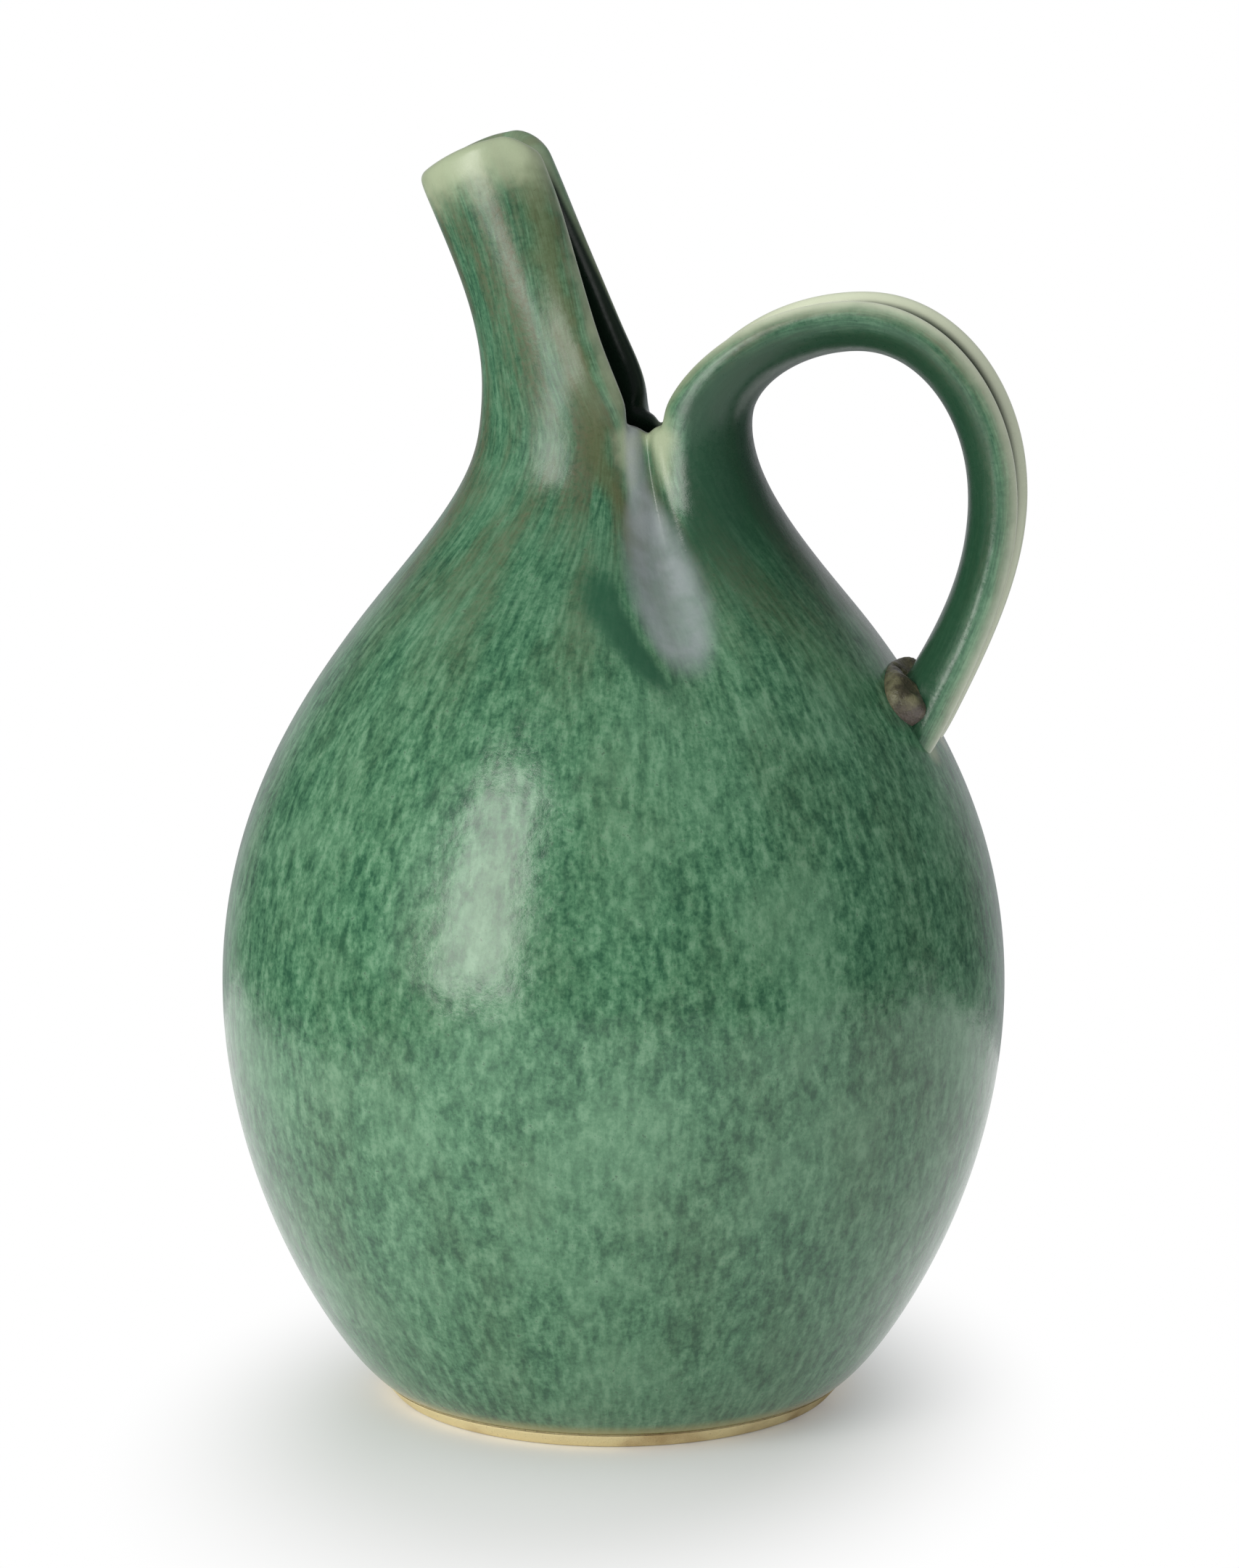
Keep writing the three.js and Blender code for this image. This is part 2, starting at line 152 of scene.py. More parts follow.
QUARTER_ROUND = 0.5523

# Rolled lips: a bead along the edge and a finger groove beside it, by distance from the edge.
# The sheet stops short of the lips by a share of half its wall, which is smaller at the crotch.
LIP_ROOT_INSET = 0.3
SPOUT_INSET_GROWTH = 0.35
STRAP_INSET_GROWTH = 0.5
BEAD_HEIGHT = 0.9
BEAD_PLACE = 1.6
BEAD_WIDTH = 2.4
GROOVE_DEPTH = 0.45
GROOVE_PLACE = 6.8
GROOVE_WIDTH = 2.0

# Wad of clay around the end of the strap: a lump on the shoulder that is wider than the strap and
# dips in its middle, under it
WAD_HEIGHT = 141.5
WAD_HALF_HEIGHT = 6
WAD_HALF_WIDTH = 13.5
WAD_THICKNESS = 5.8
WAD_EMBED = 3
WAD_LUMP = 0.9
WAD_BLUNTNESS = 0.6
WAD_DIP = 4.8
WAD_DIP_WIDTH = 6
WAD_LUMP_PITCH = 0.6
WAD_ROWS = 24
WAD_COLUMNS = 64

# Cage rows and columns, and the angle from +X at which the spout's and the strap's columns end
BELLY_ROWS = 24
NECK_ROWS = 11
SPOUT_ROWS = 14
STRAP_ROWS_PER_CURVE = 12
SPOUT_COLUMNS = 33
STRAP_COLUMNS = 21
WAIST_COLUMNS = 3
SPOUT_END_BEARING = 68
STRAP_END_BEARING = 46
LIP_STEPS = 3
SMOOTHING_LEVELS = 2
COLUMN_CROWDING = 0.25
UNDERSIDE_RINGS = (0.97, 0.6, 0.25)
FLOOR_RINGS = (0.8, 0.5, 0.2)
PROFILE_SAMPLES = 400
SLOPE_STEP = 1
FLOW_RADIUS = 45
SEAM_REACH = 3
RIDGE_FADE = 0.35
CREST_STEPS = 5
CREST_GAP = 12
RIDGE_ROWS = 60
MOUTH_FADE = 0.4

# Glaze and clay colours, linear
GLAZE_DARK = (0.022, 0.088, 0.046, 1)
GLAZE_MID = (0.074, 0.202, 0.106, 1)
GLAZE_LIGHT = (0.155, 0.308, 0.186, 1)
GLAZE_SPECK = (0.020, 0.060, 0.035, 1)
GLAZE_BROWN = (0.095, 0.098, 0.052, 1)
# Darker pooled glaze on the handle, which also stands for painted shade
GLAZE_POOL_AND_SHADE = (0.016, 0.058, 0.030, 1)
# Near black: painted shade on the inside of the sheet, over its darker glaze
INSIDE_GLAZE_AND_SHADE = (0.010, 0.024, 0.014, 1)
GLAZE_OLIVE = (0.105, 0.105, 0.042, 1)
GLAZE_PALE = (0.37, 0.43, 0.28, 1)
GLAZE_RIDGE = (0.70, 0.75, 0.56, 1)
# Painted reflection of a light in the dimple
PAINTED_REFLECTION_COLOUR = (0.31, 0.345, 0.355, 1)
GLAZE_THIN = (0.30, 0.28, 0.10, 1)
WAD_DARK = (0.05, 0.045, 0.028, 1)
WAD_OLIVE = (0.17, 0.165, 0.09, 1)
WAD_PURPLE = (0.17, 0.125, 0.12, 1)
CLAY_PALE = (0.80, 0.68, 0.38, 1)
CLAY_TOASTED = (0.50, 0.37, 0.18, 1)
CLAY_SPECK = (0.12, 0.09, 0.05, 1)

# Glaze pattern. A noise is its scale per metre, its detail and its roughness. The runs and the brown
# are stretched along the clay. Heights are in metres.
NOISE_RANGE = (0.3, 0.7)
SPECK_NOISE = (1000, 5, 0.65)
BLOT_NOISE = (420, 3, 0.55)
RUN_NOISE = (800, 4, 0.6)
RUN_STRETCH = (1, 1, 0.3)
MOTTLE_SHARES = (0.30, 0.12, 0.46, 0.12)
DARK_TO_MID = (0.38, 0.54)
MID_TO_LIGHT = (0.49, 0.63)
DEEP_HEIGHT = (0.13, 0.19)
DEEP_STRENGTH = 0.30
SPECK_REACH = (0.60, 0.70)
SPECK_STRENGTH = 0.6
CLOUD_NOISE = (45, 3, 0.5)
CLOUD_REACH = (0.45, 0.70)
CLOUD_STRENGTH = 0.3
BROWN_NOISE = (95, 4, 0.5)
BROWN_STRETCH = (1, 1, 0.36)
BROWN_REACH = (0.40, 0.68)
BROWN_HEIGHT = (0.142, 0.182)
BROWN_STRENGTH = (0.14, 0.95)
BROWN_GRAIN = (0.45, 1)
SWELL_NOISE = (90, 2, 0.5)
SPECK_RELIEF = 0.12
WANDER_NOISE = (160, 3, 0.5)
WANDER_MM = 0.7
HANDLE_WANDER = 0.3

# Where the glaze breaks over edges and pools; the pools on the handle also stand for painted shade, the
# inside is painted shade over darker glaze, and the dimple holds a painted reflection with a painted shade
# rim. Distances from an edge are in millimetres, and places along the clay, heights and the far side's
# start are in metres.
SPOUT_PALE_REACH = (0.8, 5.4)
HANDLE_PALE_REACH = (1.0, 5.2)
RIDGE_START = (0.196, 0.225)
PALE_STRENGTH = 0.92
FAR_LIP = (0.0, 0.004)
FAR_LIP_STRENGTH = 0.35
DIMPLE_REFLECTION_STRENGTH = 0.86
DIMPLE_SHADE_STRENGTH = 0.9
DIMPLE_REFLECTION_CLOUD = (0.65, 1)
OLIVE_START = (4.0, 6.5)
OLIVE_END = (7.0, 11.0)
OLIVE_STRENGTH = 0.6
POOL_AND_SHADE_EDGE = (4.0, 7.0)
POOL_AND_SHADE_RISE = (0.152, 0.180)
POOL_AND_SHADE_STRENGTH = 0.9
HANDLE_SIDE = (0.019, 0.030)
SPOUT_INSIDE_SHADE_REACH = (0.30, 0.50)
HANDLE_INSIDE_SHADE_REACH = (0.64, 0.90)
MOUTH_INSIDE_SHADE_FADE = (0.232, 0.238)
FOOT_LINE = (0.0035, 0.0065)
FOOT_LINE_STRENGTH = 0.85
BARE_LINE = (0.0028, 0.0034)
GLAZE_ROUGHNESS = (0.13, 0.22)
DULL_HEIGHT = (0.165, 0.20)
DULLNESS = 0.14
GLAZE_IOR = 1.5
GLAZE_RELIEF = 0.00035

# Wad and foot pattern
WAD_BLOT_NOISE = (260, 4, 0.6)
WAD_GRAIN_NOISE = (1400, 3, 0.6)
WAD_BLOT_REACH = (0.35, 0.65)
WAD_SPECK_REACH = (0.55, 0.75)
WAD_SPECK_STRENGTH = 0.5
WAD_GRAIN_RELIEF = 0.2
WAD_PURPLE_HEIGHT = (0.138, 0.1435)
WAD_PURPLE_STRENGTH = 0.7
WAD_ROUGHNESS = (0.28, 0.45)
WAD_RELIEF = 0.0009
CLAY_PATCH_NOISE = (60, 3, 0.55)
CLAY_GRAIN_NOISE = (2200, 4, 0.7)
CLAY_TOASTED_REACH = (0.45, 0.7)
CLAY_SPECK_REACH = (0.62, 0.72)
CLAY_SPECK_STRENGTH = 0.7
CLAY_ROUGHNESS = (0.75, 0.95)
CLAY_RELIEF = 0.0002

# Camera of the photograph, in metres
CAMERA_AZIMUTH = 11
CAMERA_DISTANCE = 1.2
CAMERA_HEIGHT = 0.3697
CAMERA_TARGET = (0, 0, 0.1216)
CAMERA_SENSOR = 36
CAMERA_LENS = 143.7
CAMERA_SHIFT_X = 0.00398

# Studio, in metres. Brightness is against white paper.
KEY_COLOUR = (1.0, 0.98, 0.94)
KEY_SOFTBOX = dict(azimuth=-29, distance=1.0, low=0.1, high=1.1, width=0.46, brightness=6.3)
KEY_SPILL = dict(azimuth=-50, distance=1.0, low=0.1, high=0.9, width=0.30, brightness=0.7)
AMBIENT_LOW = (0.46, 0.46, 0.48, 1)
AMBIENT_HIGH = (0.72, 0.72, 0.74, 1)
AMBIENT_HEIGHT = (0.0, 0.9)
ROOM_COLOUR = (0.07, 0.07, 0.08, 1)
BACKDROP_COLOUR = (0.46, 0.46, 0.48, 1)
BACKDROP_DIRECTION = (-0.12, 0.99, 0)
BACKDROP_EDGE = (0.66, 0.92)
FLOOR_COLOUR = (0.86, 0.86, 0.85, 1)
FLOOR_FADE = (0.048, 0.122)
FLOOR_SHADOW_OFFSET = (0, 0.03, 0)
FLOOR_SHADOW_STRETCH = (1.3, 0.85, 0)
FLOOR_NEAR_WHITE = 0.10
FLOOR_X = (-0.40, 0.77)
FLOOR_Y = (-3.0, 0.26)

REGIONS = ("belly", "neck", "spout", "handle")
BELLY, NECK, SPOUT, HANDLE = range(len(REGIONS))


def heading(degrees):
    """Unit direction at an angle above the first axis"""
    angle = math.radians(degrees)
    return np.array([math.cos(angle), math.sin(angle)])


def curve(start, start_pull, end, end_pull):
    """Control points of a cubic curve that leaves start and reaches end along the two pulls"""
    start = np.array(start, float)
    end = np.array(end, float)
    return np.array([start, start + start_pull, end - end_pull, end])


def at(path, t):
    weights = ((1 - t) ** 3, 3 * t * (1 - t) ** 2, 3 * t * t * (1 - t), t ** 3)
    return sum(weight * point for weight, point in zip(weights, path))


def beside(path, t, distance):
    """Point beside an upward curve, at a distance towards its outside"""
    legs = np.diff(path, axis=0)
    along = (1 - t) ** 2 * legs[0] + 2 * t * (1 - t) * legs[1] + t * t * legs[2]
    along = along / np.linalg.norm(along)
    return at(path, t) + distance * np.array([along[1], -along[0]])


def mix(start, end, share):
    return start + (end - start) * share


def smoothstep(value, low, high):
    share = np.clip((value - low) / (high - low), 0, 1)
    return share * share * (3 - 2 * share)


def unit(vectors):
    return vectors / np.linalg.norm(vectors, axis=-1, keepdims=True)


# Profile of the body as (radius, height)
LOWER_CURVE = curve(
    (FOOT_RADIUS + FOOT_FLARE, BODY_BASE), (FOOT_PULL_OUT, FOOT_PULL_UP),
    (BELLY_RADIUS, BELLY_HEIGHT), (0, BELLY_PULL_DOWN))
UPPER_CURVE = curve(
    (BELLY_RADIUS, BELLY_HEIGHT), (0, BELLY_PULL_UP),
    (NECK_RADIUS, RIM_HEIGHT), (0, NECK_PULL_DOWN))


def profile(distance):
    """Points of the body's profile from foot to rim, moved sideways by a distance"""
    steps = np.linspace(0, 1, PROFILE_SAMPLES)
    points = [beside(path, t, distance) for path in (LOWER_CURVE, UPPER_CURVE) for t in steps]
    return np.array(points)


OUTSIDE = profile(0)
INSIDE = profile(-BODY_WALL)


def radius_at(points, height):
    return np.interp(height, points[:, 1], points[:, 0])


def even_heights(low, high, count):
    """Heights that divide the outside between two levels into equal lengths"""
    inside = (OUTSIDE[:, 1] >= low) & (OUTSIDE[:, 1] <= high)
    points = OUTSIDE[inside]
    lengths = np.concatenate([[0], np.cumsum(np.linalg.norm(np.diff(points, axis=0), axis=1))])
    heights = np.interp(np.linspace(0, lengths[-1], count + 1), lengths, points[:, 1])
    heights[0] = low
    heights[-1] = high
    return heights


def lip_relief(outline):
    """Height of the bead and the groove at each point of an outline, by its distance from a lip"""
    steps = np.linalg.norm(np.diff(outline, axis=0), axis=1)
    from_first = np.concatenate([[0], np.cumsum(steps)])
    from_lip = np.minimum(from_first, from_first[-1] - from_first)
    bead = BEAD_HEIGHT * np.exp(-((from_lip - BEAD_PLACE) / BEAD_WIDTH) ** 2)
    groove = GROOVE_DEPTH * np.exp(-((from_lip - GROOVE_PLACE) / GROOVE_WIDTH) ** 2)
    return bead - groove


def bent_wall(depth, lip_half_gap, half_width, narrowing, back_wall, lip_wall, columns, relief, inset):
    """Outer and inner outline of a wall bent to an oval that stays open between its lips.

    x runs from the back to the lips and y from the near lip to the far lip. The outline can be
    narrower at its back. It stops short of the lips, because their rounding makes up the rest.
    """
    lip_angle = math.pi - math.asin(lip_half_gap / half_width)
    half_depth = depth / (1 - math.cos(lip_angle))
    lip_speed = math.hypot(half_depth * math.sin(lip_angle), half_width * math.cos(lip_angle))
    share = np.linspace(-1, 1, columns)
    share = share * (1 + COLUMN_CROWDING * (1 - share ** 2))
    angle = share * (lip_angle - inset * lip_wall / 2 / lip_speed)
    reach = half_depth * (1 - np.cos(angle))
    width = half_width * (1 - narrowing * (1 - reach / depth))
    outer = np.stack([reach, width * np.sin(angle)], axis=1)
    normal = unit(np.stack([-width * np.cos(angle), half_depth * np.sin(angle)], axis=1))
    thickness = mix(back_wall, lip_wall, share ** 2)
    inner = outer - thickness[:, None] * normal
    outer = outer + (relief * lip_relief(outer))[:, None] * normal
    return outer, inner


def placed(points, back, lips):
    """Places an outline between its back and its lips, two points of the XZ plane"""
    across = unit(lips - back)
    x = back[0] + across[0] * points[:, 0]
    z = back[1] + across[1] * points[:, 0]
    return np.stack([x, points[:, 1], z], axis=1)


# Spout rails of (x, z) for its back and its lips, from the rim to the mouth
MOUTH_BACK = np.array([-NECK_RADIUS - SPOUT_LEAN, RIM_HEIGHT + SPOUT_RISE])
MOUTH_LIPS = MOUTH_BACK + MOUTH_DEPTH * heading(MOUTH_TILT)
SPOUT_AIM = heading(90 + MOUTH_TILT)
SPOUT_BACK = curve(
    (SPOUT_SETBACK - NECK_RADIUS, RIM_HEIGHT), SPOUT_PULL * heading(90 - SPOUT_BACK_SLOPE),
    MOUTH_BACK, SPOUT_PULL * SPOUT_AIM)
SPOUT_LIPS = curve(
    (WAIST_X - WAIST_LENGTH / 2, RIM_HEIGHT), SPOUT_PULL * heading(90 + SPOUT_LIP_SLOPE),
    MOUTH_LIPS, SPOUT_PULL * SPOUT_AIM)


def slit_half_width(share):
    """Half the gap between the spout's lips, wide low down and nearly closed at the mouth"""
    opened = mix(WAIST_HALF_WIDTH, SLIT_HALF_WIDTH, smoothstep(share, *SLIT_OPENING))
    return mix(opened, MOUTH_SLIT_HALF_WIDTH, smoothstep(share, *SLIT_CLOSING))


def spout_section(share):
    """Outer and inner points of the spout at a share of its height"""
    back = at(SPOUT_BACK, share)
    lips = at(SPOUT_LIPS, share)
    depth = np.linalg.norm(lips - back)
    wall = mix(BODY_WALL, SPOUT_TIP_WALL, share)
    inset = mix(LIP_ROOT_INSET, 1, smoothstep(share, 0, SPOUT_INSET_GROWTH))
    outlines = bent_wall(
        depth, slit_half_width(share), mix(SPOUT_HALF_WIDTH, MOUTH_HALF_WIDTH, share),
        SPOUT_NARROWING, wall, wall, SPOUT_COLUMNS, share ** SPOUT_RELIEF_GROWTH, inset)
    place = np.abs(np.linspace(-1, 1, SPOUT_COLUMNS))
    drop = MOUTH_CORNER_DROP * share ** MOUTH_CORNER_GROWTH * smoothstep(place, MOUTH_CORNER_START, 1)
    drop = drop + SPOUT_TIP_WALL / 2 * share ** 2
    sections = []
    for outline in outlines:
        across = outline[:, 0] / depth
        rise = MOUTH_CROWN * share ** 2 * 4 * across * (1 - across) - drop
        shift = np.stack([SPOUT_AIM[0] * rise, 0 * rise, SPOUT_AIM[1] * rise], axis=1)
        sections.append(placed(outline, back, lips) + shift)
    return sections


# Strap rails for its back and its lips: over the crest, down the far side and into the shoulder
STRAP_CREST = np.array([NECK_RADIUS + LOOP_CREST_OUT, RIM_HEIGHT + LOOP_CREST_RISE])
STRAP_SIDE = np.array([NECK_RADIUS + LOOP_WIDTH, RIM_HEIGHT - LOOP_SIDE_DROP])
LIP_CREST = STRAP_CREST + (0, STRAP_DEPTH)
LIP_SIDE = STRAP_SIDE + (STRAP_DEPTH, 0)
LANDING_HEIGHT = RIM_HEIGHT - LANDING_DROP


def quarter_round(start, end):
    reach = QUARTER_ROUND * (end - start)
    return curve(start, (reach[0], 0), end, (0, reach[1]))


def landing(start, start_pull, height, end_pull, slope):
    """Curve from the far side of the loop down to the shoulder, and on inside it"""
    aim = heading(180 + slope)
    end = np.array([radius_at(OUTSIDE, height), height]) + STRAP_END_DEPTH * aim
    return curve(start, (0, -start_pull), end, (end_pull + STRAP_END_DEPTH) * aim)


STRAP_BACK = (
    curve((NECK_RADIUS, RIM_HEIGHT), (0, LOOP_ROOT_PULL), STRAP_CREST, (LOOP_CREST_PULL, 0)),
    quarter_round(STRAP_CREST, STRAP_SIDE),
    landing(STRAP_SIDE, LOOP_SIDE_PULL, LANDING_HEIGHT, LANDING_PULL, LANDING_SLOPE),
)
STRAP_LIPS = (
    curve((WAIST_X + WAIST_LENGTH / 2, RIM_HEIGHT), LIP_ROOT_PULL * heading(LIP_ROOT_SLOPE),
          LIP_CREST, (LIP_CREST_PULL, 0)),
    quarter_round(LIP_CREST, LIP_SIDE),
    landing(LIP_SIDE, LIP_SIDE_PULL, LANDING_HEIGHT - LIP_LANDING_DROP, LIP_LANDING_PULL,
            LIP_LANDING_SLOPE),
)
STRAP_CURVES = len(STRAP_BACK)


def strap_section(place):
    """Outer and inner points of the strap. place counts its curves from their start."""
    piece = min(int(place), STRAP_CURVES - 1)
    back = at(STRAP_BACK[piece], place - piece)
    lips = at(STRAP_LIPS[piece], place - piece)
    settled = smoothstep(place, 0, 1)
    inset = mix(LIP_ROOT_INSET, 1, smoothstep(place, 0, STRAP_INSET_GROWTH))
    outlines = bent_wall(
        np.linalg.norm(lips - back), mix(WAIST_HALF_WIDTH, STRAP_LIP_HALF_GAP, settled),
        mix(STRAP_ROOT_HALF_WIDTH, STRAP_HALF_WIDTH, settled), 0,
        mix(BODY_WALL, STRAP_BACK_WALL, settled), mix(BODY_WALL, STRAP_LIP_WALL, settled),
        STRAP_COLUMNS, STRAP_RELIEF * smoothstep(place, 0, STRAP_RELIEF_START), inset)
    return [placed(outline[::-1], back, lips) for outline in outlines]


def waist_columns(side):
    """Outer and inner (x, y) of the pinched waist, from the spout's lip to the strap's"""
    x = WAIST_X + WAIST_LENGTH / 2 * np.array([-VALLEY_EDGE, 0, VALLEY_EDGE])
    valley = np.array([0, VALLEY_DEPTH, 0])
    outer = np.stack([x, side * (WAIST_HALF_WIDTH - valley)], axis=1)
    inner = np.stack([x, side * (WAIST_HALF_WIDTH - BODY_WALL - VALLEY_INSIDE_SHARE * valley)], axis=1)
    return outer, inner


def rim_outline():
    """Outer and inner (x, y) of the rim: spout, far waist, strap and near waist"""
    spout = [section[:, :2] for section in spout_section(0)]
    strap = [section[:, :2] for section in strap_section(0)]
    far = waist_columns(1)
    near = [columns[::-1] for columns in waist_columns(-1)]
    return [np.concatenate(parts) for parts in zip(spout, far, strap, near)]


def column_bearings():
    """Angle of each column where the body is round, in the rim outline's order"""
    spout = np.linspace(360 - SPOUT_END_BEARING, SPOUT_END_BEARING, SPOUT_COLUMNS)
    strap = np.linspace(STRAP_END_BEARING, -STRAP_END_BEARING, STRAP_COLUMNS)
    between = np.linspace(SPOUT_END_BEARING, STRAP_END_BEARING, WAIST_COLUMNS + 2)[1:-1]
    return np.radians(np.concatenate([spout, between, strap, -between[::-1]]))


BEARINGS = column_bearings()
RIM_OUTER, RIM_INNER = rim_outline()
FAR_WAIST = SPOUT_COLUMNS
STRAP_FIRST = FAR_WAIST + WAIST_COLUMNS
NEAR_WAIST = STRAP_FIRST + STRAP_COLUMNS
COLUMNS = NEAR_WAIST + WAIST_COLUMNS
ALL_COLUMNS = slice(0, COLUMNS)


def flow(columns, distance):
    """Where the glaze's streaks run: around the columns, and along the clay by a distance"""
    around = FLOW_RADIUS * np.stack([np.cos(BEARINGS), np.sin(BEARINGS)], axis=1)[columns]
    return np.concatenate([around, np.full((len(around), 1), distance)], axis=1)


def dimple(height):
    """How far the dimples push each column inwards at a height"""
    bearings = np.abs((np.degrees(BEARINGS) + 180) % 360 - 180)
    aside = (bearings - DIMPLE_BEARING) / DIMPLE_SPREAD_DEGREES
    above = (height - DIMPLE_HEIGHT) / DIMPLE_SPREAD_UP
    return DIMPLE_DEPTH * np.exp(-aside ** 2 - above ** 2)


def crotch_dip(height):
    """How far each column sinks at the crotches, where the rim is lowest"""
    dip = np.zeros(COLUMNS)
    dip[FAR_WAIST:STRAP_FIRST] = CROTCH_DIP_SHARES
    dip[NEAR_WAIST:] = CROTCH_DIP_SHARES
    return CROTCH_DIP * dip * smoothstep(height, RIM_ROW_HEIGHT - CROTCH_DIP_LENGTH, RIM_ROW_HEIGHT)


def body_ring(rim, points, rim_radius, height):
    """A ring of the body: round up to the seam, then taking the rim's outline as it rises"""
    radius = radius_at(points, height)
    pinch = smoothstep(height, SEAM_HEIGHT, RIM_HEIGHT)
    round_xy = radius * np.stack([np.cos(BEARINGS), np.sin(BEARINGS)], axis=1)
    xy = mix(round_xy, rim * radius / rim_radius, pinch)
    xy = xy - dimple(height)[:, None] * unit(xy)
    return np.concatenate([xy, (height - crotch_dip(height))[:, None]], axis=1)


class Cage:
    """Points and faces of the sheet before it is smoothed"""

    def __init__(self):
        self.points = []
        self.flows = []
        self.insides = []
        self.faces = []
        self.regions = []

    def add(self, points, flows, inside):
        """Adds points with their place in the glaze's flow and a share of 1 on the inner side"""
        first = len(self.points)
        self.points.extend(points)
        self.flows.extend(flows)
        self.insides.extend(np.broadcast_to(inside, len(points)))
        return list(range(first, len(self.points)))

    def face(self, corners, region):
        self.faces.append(corners)
        self.regions.append(region)

    def band(self, low, high, region, closed, flipped):
        """Quads between two rows of points"""
        count = len(low)
        for i in range(count if closed else count - 1):
            j = (i + 1) % count
            corners = (low[i], high[i], high[j], low[j])
            self.face(corners[::-1] if flipped else corners, region)


def add_body(cage):
    """Outside and inside of belly and neck. Returns the rim's outer and inner row."""
    heights = np.concatenate([
        even_heights(BODY_BASE, SEAM_HEIGHT, BELLY_ROWS),
        even_heights(SEAM_HEIGHT, RIM_ROW_HEIGHT, NECK_ROWS)[1:]])
    floor_top = BODY_BASE + FLOOR_THICKNESS
    outer = []
    inner = []
    for height in heights:
        runs = flow(ALL_COLUMNS, height)
        outer.append(cage.add(body_ring(RIM_OUTER, OUTSIDE, NECK_RADIUS, height), runs, 0))
        if height > floor_top:
            ring = body_ring(RIM_INNER, INSIDE, NECK_RADIUS - BODY_WALL, height)
            inner.append(cage.add(ring, runs, 1))
    for rows, flipped in ((outer, False), (inner, True)):
        first_neck_row = len(rows) - 1 - NECK_ROWS
        for k in range(len(rows) - 1):
            region = NECK if k >= first_neck_row else BELLY
            cage.band(rows[k], rows[k + 1], region, True, flipped)
    add_disc(cage, outer[0], BODY_BASE, UNDERSIDE_RINGS, False)
    add_disc(cage, inner[0], floor_top, FLOOR_RINGS, True)
    return outer[-1], inner[-1]


def add_disc(cage, edge, height, shares, upwards):
    """Closes a ring with smaller and smaller rings at a height"""
    ring = np.array([cage.points[i] for i in edge])
    row = edge
    for share in shares:
        smaller = ring * share
        smaller[:, 2] = height
        inner_row = cage.add(smaller, smaller, int(upwards))
        cage.band(row, inner_row, BELLY, True, not upwards)
        row = inner_row
    cage.face(row[::-1] if upwards else row, BELLY)


def add_branch(cage, root, sections, columns, length, region):
    """Grids of the spout or the strap above their columns of the rim. Returns all their rows."""
    runs = [flow(columns, RIM_HEIGHT + length * (k + 1) / len(sections)) for k in range(len(sections))]
    grids = []
    for side, flipped in ((0, False), (1, True)):
        rows = [root[side]]
        rows += [cage.add(section[side], run, side) for section, run in zip(sections, runs)]
        for low, high in zip(rows, rows[1:]):
            cage.band(low, high, region, False, flipped)
        grids.append(rows)
    return grids


def edge_walk(spout, strap, rim):
    """The free edge as one closed walk of stops.

    A stop has pairs of (outer, inner, outer neighbour, inner neighbour), its region, and whether
    it lies across the end of the spout or the strap.
    """
    walk = branch_stops(spout, SPOUT_COLUMNS, SPOUT)
    walk += rim_stops(rim, SPOUT_COLUMNS - 1, STRAP_FIRST)
    walk += branch_stops(strap, STRAP_COLUMNS, HANDLE)
    return walk + rim_stops(rim, NEAR_WAIST - 1, COLUMNS)


def branch_stops(grids, columns, region):
    """Stops up the first lip of the spout or the strap, across its end and down the other lip"""
    last = len(grids[0]) - 1
    end = columns - 1

    def stop(row, column, back_row, back_column):
        pairs = [(grids[0][row][column], grids[1][row][column],
                  grids[0][row + dr][column + dc], grids[1][row + dr][column + dc])
                 for dr, dc in ((back_row, 0), (0, back_column)) if dr or dc]
        return pairs, region, back_row != 0

    up = [stop(row, 0, 0, 1) for row in range(1, last)]
    across = [stop(last, column, -1, 0) for column in range(1, end)]
    down = [stop(row, end, 0, -1) for row in range(last - 1, 0, -1)]
    return up + [stop(last, 0, -1, 1)] + across + [stop(last, end, -1, -1)] + down


def rim_stops(rim, first, last):
    """Stops of the walk across a crotch, whose neighbours lie in the row below the rim"""
    stops = []
    for column in range(first, last + 1):
        i = column % COLUMNS
        stops.append(([(rim[0][i], rim[1][i], rim[2][i], rim[3][i])], NECK, False))
    return stops


def add_lips(cage, walk):
    """Rounds the free edge from its outer to its inner side.

    Returns the crest of the rounding as (x, y, z, added distance, distance factor). The glaze thins
    further down from the mouth than from the other edges, and the strap's end has no pale edge.
    """
    points = np.array(cage.points)
    strips = []
    crest = []
    for stops, region, is_end in walk:
        outer, inner = stops[0][:2]
        centre = (points[outer] + points[inner]) / 2
        arm = (points[outer] - points[inner]) / 2
        outwards = sum(unit(centre - (points[a] + points[b]) / 2) for _, _, a, b in stops)
        outwards = unit(outwards - arm * (outwards @ arm) / (arm @ arm))
        angles = np.pi * np.arange(1, LIP_STEPS + 1) / (LIP_STEPS + 1)
        reach = np.linalg.norm(arm) * outwards
        rounding = [centre + math.cos(angle) * arm + math.sin(angle) * reach for angle in angles]
        runs = [cage.flows[outer]] * LIP_STEPS
        strips.append([outer] + cage.add(rounding, runs, angles / np.pi) + [inner])
        if region == SPOUT or not is_end:
            crest.append((*(centre + reach), 0, MOUTH_FADE if is_end else 1))
    for k, strip in enumerate(strips):
        following = strips[(k + 1) % len(strips)]
        region = max(walk[k][1], walk[(k + 1) % len(strips)][1])
        for i in range(len(strip) - 1):
            cage.face((strip[i], strip[i + 1], following[i + 1], following[i]), region)
    return np.array(crest)


